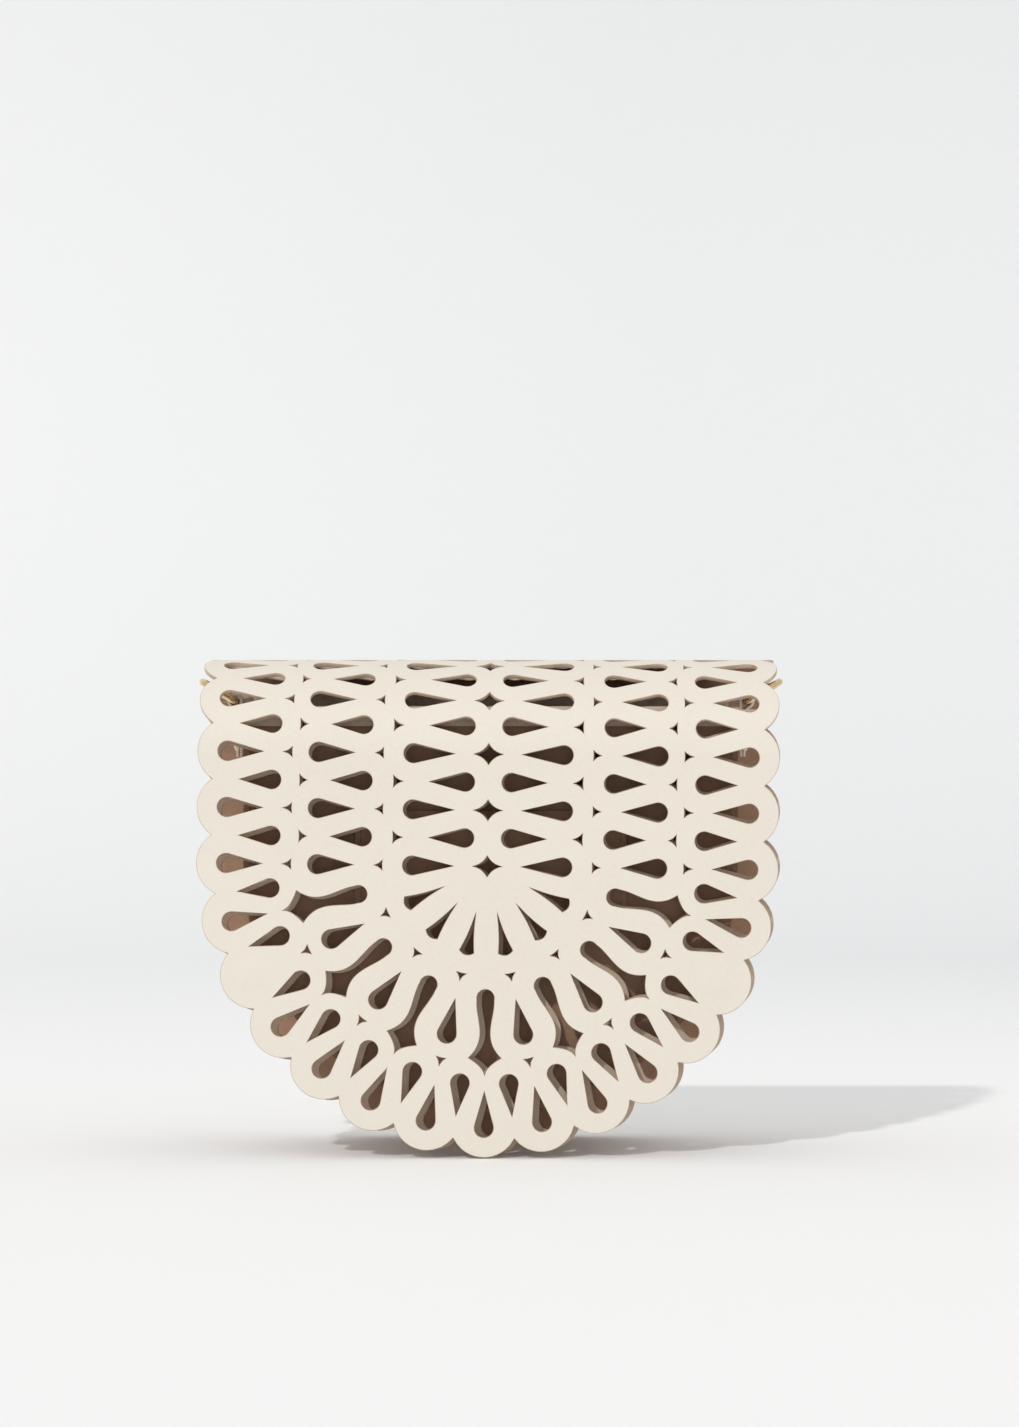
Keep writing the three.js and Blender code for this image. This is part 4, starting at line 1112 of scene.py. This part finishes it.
for where, side in (("left", -1), ("right", 1)):
    ring_low, ring_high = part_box(f"ring_{where}")
    middle_y = (ring_low.y + ring_high.y) / 2
    eye_z = ring_low.z + WIRE_RADIUS
    eye_x = tab_low.x + TAB_EYE
    reach = np.column_stack(
        [
            side * (eye_x + ring_line[:, 0] * np.cos(RING_LEAN)),
            middle_y + ring_line[:, 1],
            eye_z + ring_line[:, 0] * np.sin(RING_LEAN),
        ]
    )
    ring_ahead = np.roll(reach, -1, axis=0) - np.roll(reach, 1, axis=0)
    ring_ahead /= np.linalg.norm(ring_ahead, axis=1)[:, None]
    ring_upright = np.tile([-side * np.sin(RING_LEAN), 0, np.cos(RING_LEAN)], (len(reach), 1))
    ring = swept(f"ring_{where}_wire", reach, ring_ahead, ring_upright, wire_section, [gold], True)
    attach(ring, f"ring_{where}")
    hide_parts(f"ring_{where}")

    bend = arc_points(eye_x, eye_z, TAB_EYE - TAB_PLY / 2, 180, TAB_BEND_END, 25)
    inner_x = tab_low.x + TAB_PLY / 2
    outer_x = inner_x + TAB_PLY + TAB_GAP
    up = np.stack([np.full(12, inner_x), np.linspace(tab_low.z, eye_z, 13)[:-1]], axis=1)
    ease = np.linspace(0, 1, 9)[1:]
    bend_end = bend[-1]
    settle_z = eye_z - TAB_SETTLE
    settle = np.stack(
        [
            bend_end[0] + (outer_x - bend_end[0]) * ease**0.8 * (2 - ease**0.8),
            bend_end[1] + (settle_z - bend_end[1]) * ease,
        ],
        axis=1,
    )
    down = np.stack([np.full(10, outer_x), np.linspace(settle_z, tab_low.z, 11)[1:]], axis=1)
    line = np.concatenate([up, bend, settle, down])
    path = np.stack([side * line[:, 0], np.full(len(line), middle_y), line[:, 1]], axis=1)
    ahead = np.gradient(path, axis=0)
    ahead /= np.linalg.norm(ahead, axis=1)[:, None]
    widthways = np.tile([0.0, 1.0, 0.0], (len(path), 1))
    tab = swept(f"tab_{where}_strap", path, ahead, widthways, tab_section, [soft_hide], False)
    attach(tab, "body")
    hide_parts(f"tab_{where}")

    rivet_z = (rivet_low.z + rivet_high.z) / 2
    inner_end, outer_end = rivet_low.x, rivet_high.x
    dome = arc_points(0, 0, 1, 90, 0, 7)
    profile = np.concatenate(
        [
            np.stack([RIVET_HEAD * dome[:, 0], inner_end + RIVET_DOME * (1 - dome[:, 1])], axis=1),
            [(RIVET_SHANK, inner_end + RIVET_DOME), (RIVET_SHANK, outer_end - RIVET_DOME)],
            np.stack([RIVET_HEAD * dome[::-1, 0], outer_end - RIVET_DOME * (1 - dome[::-1, 1])], axis=1),
        ]
    )

    def lay_rivet(a, b, height, side=side, rivet_z=rivet_z, middle_y=middle_y):
        """The rivet runs sideways through tab, gusset and lining."""
        return np.stack([side * height, middle_y + a, rivet_z + b], axis=1)

    rivet = revolved(f"rivet_{where}_head", profile, lay_rivet, [gold], 32)
    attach(rivet, "body")
    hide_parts(f"rivet_{where}")

# ---- Camera, backdrop and light ----
# A level camera in front of the bag, a pale sweep of paper under and behind it, one hard lamp from high at
# the front left, and a white room for the rest. The paper is painted darker towards the back and the right:
# this is painted shade, standing in for the light falling off there.

PAPER = (0.935, 0.935, 0.935, 1)
# The paper's colour where it is painted in shade, at the back and the right.
PAPER_PAINTED_SHADE = (0.785, 0.79, 0.80, 1)
PAPER_CURL = 0.9  # radius of the curve by which the paper rises behind the bag
PAPER_CURL_START = 1.0

camera_data = bpy.data.cameras.new("camera")
camera_data.lens = 90
camera = bpy.data.objects.new("camera", camera_data)
camera.location = (0.0067, -1.2966, 0.1575)
camera.rotation_euler = (np.radians(90), 0, 0)
bpy.context.scene.collection.objects.link(camera)
bpy.context.scene.camera = camera

paper_material, dye = start_material("paper sweep")
paper_place = hide_place(dye, False)
tooth = noise(dye, paper_place, 0.0015, 4.0)
paper_side = dye.node("ShaderNodeSeparateXYZ", {}, {"Vector": paper_place}, "X")
paper_depth = dye.node("ShaderNodeSeparateXYZ", {}, {"Vector": paper_place}, "Y")
paper_cloud = (noise(dye, paper_place, 0.5) - 0.5) * 0.08
# Painted shade: the paper darkens towards the back and the right, with a faint random cloud on top.
paper_painted_shade_and_cloud = paper_depth.clipped(-0.1, 1.2) * (0.94 + paper_side * 0.45) + paper_cloud
paper_tone = dye.mix(paper_painted_shade_and_cloud, PAPER, PAPER_PAINTED_SHADE)
paper_finish = {"Base Color": paper_tone, "Roughness": 0.9, "Specular IOR Level": 0.2}
finish_surface(dye, (0.1, 0.0001, tooth), paper_finish)

curl = np.linspace(0, np.pi / 2, 17)
sweep_y = np.concatenate([[-3.5], PAPER_CURL_START + PAPER_CURL * np.sin(curl), [1.9]])
sweep_z = np.concatenate([[0], PAPER_CURL - PAPER_CURL * np.cos(curl), [4.0]])
sweep_x = np.linspace(4, -4, 9)
sweep_points = np.stack(
    [np.tile(sweep_x, len(sweep_y)), np.repeat(sweep_y, 9), np.repeat(sweep_z, 9)], axis=1
)
sweep = new_piece("paper_sweep", sweep_points, grid_faces(len(sweep_y), 9).tolist(), [paper_material])

lamp_data = bpy.data.lights.new("lamp", "SUN")
lamp_data.energy = 1.09
lamp_data.angle = np.radians(2.5)
lamp_data.color = (1.0, 0.99, 0.975)
lamp = bpy.data.objects.new("lamp", lamp_data)
lamp.rotation_euler = Vector((0.60, 1.13, -1.0)).to_track_quat("-Z", "Y").to_euler()
bpy.context.scene.collection.objects.link(lamp)

room = bpy.data.worlds.new("white room")
room.use_nodes = True
room.node_tree.nodes["Background"].inputs["Color"].default_value = (0.985, 0.99, 0.985, 1)
room.node_tree.nodes["Background"].inputs["Strength"].default_value = 0.75
bpy.context.scene.world = room
bpy.context.scene.view_settings.view_transform = "Standard"
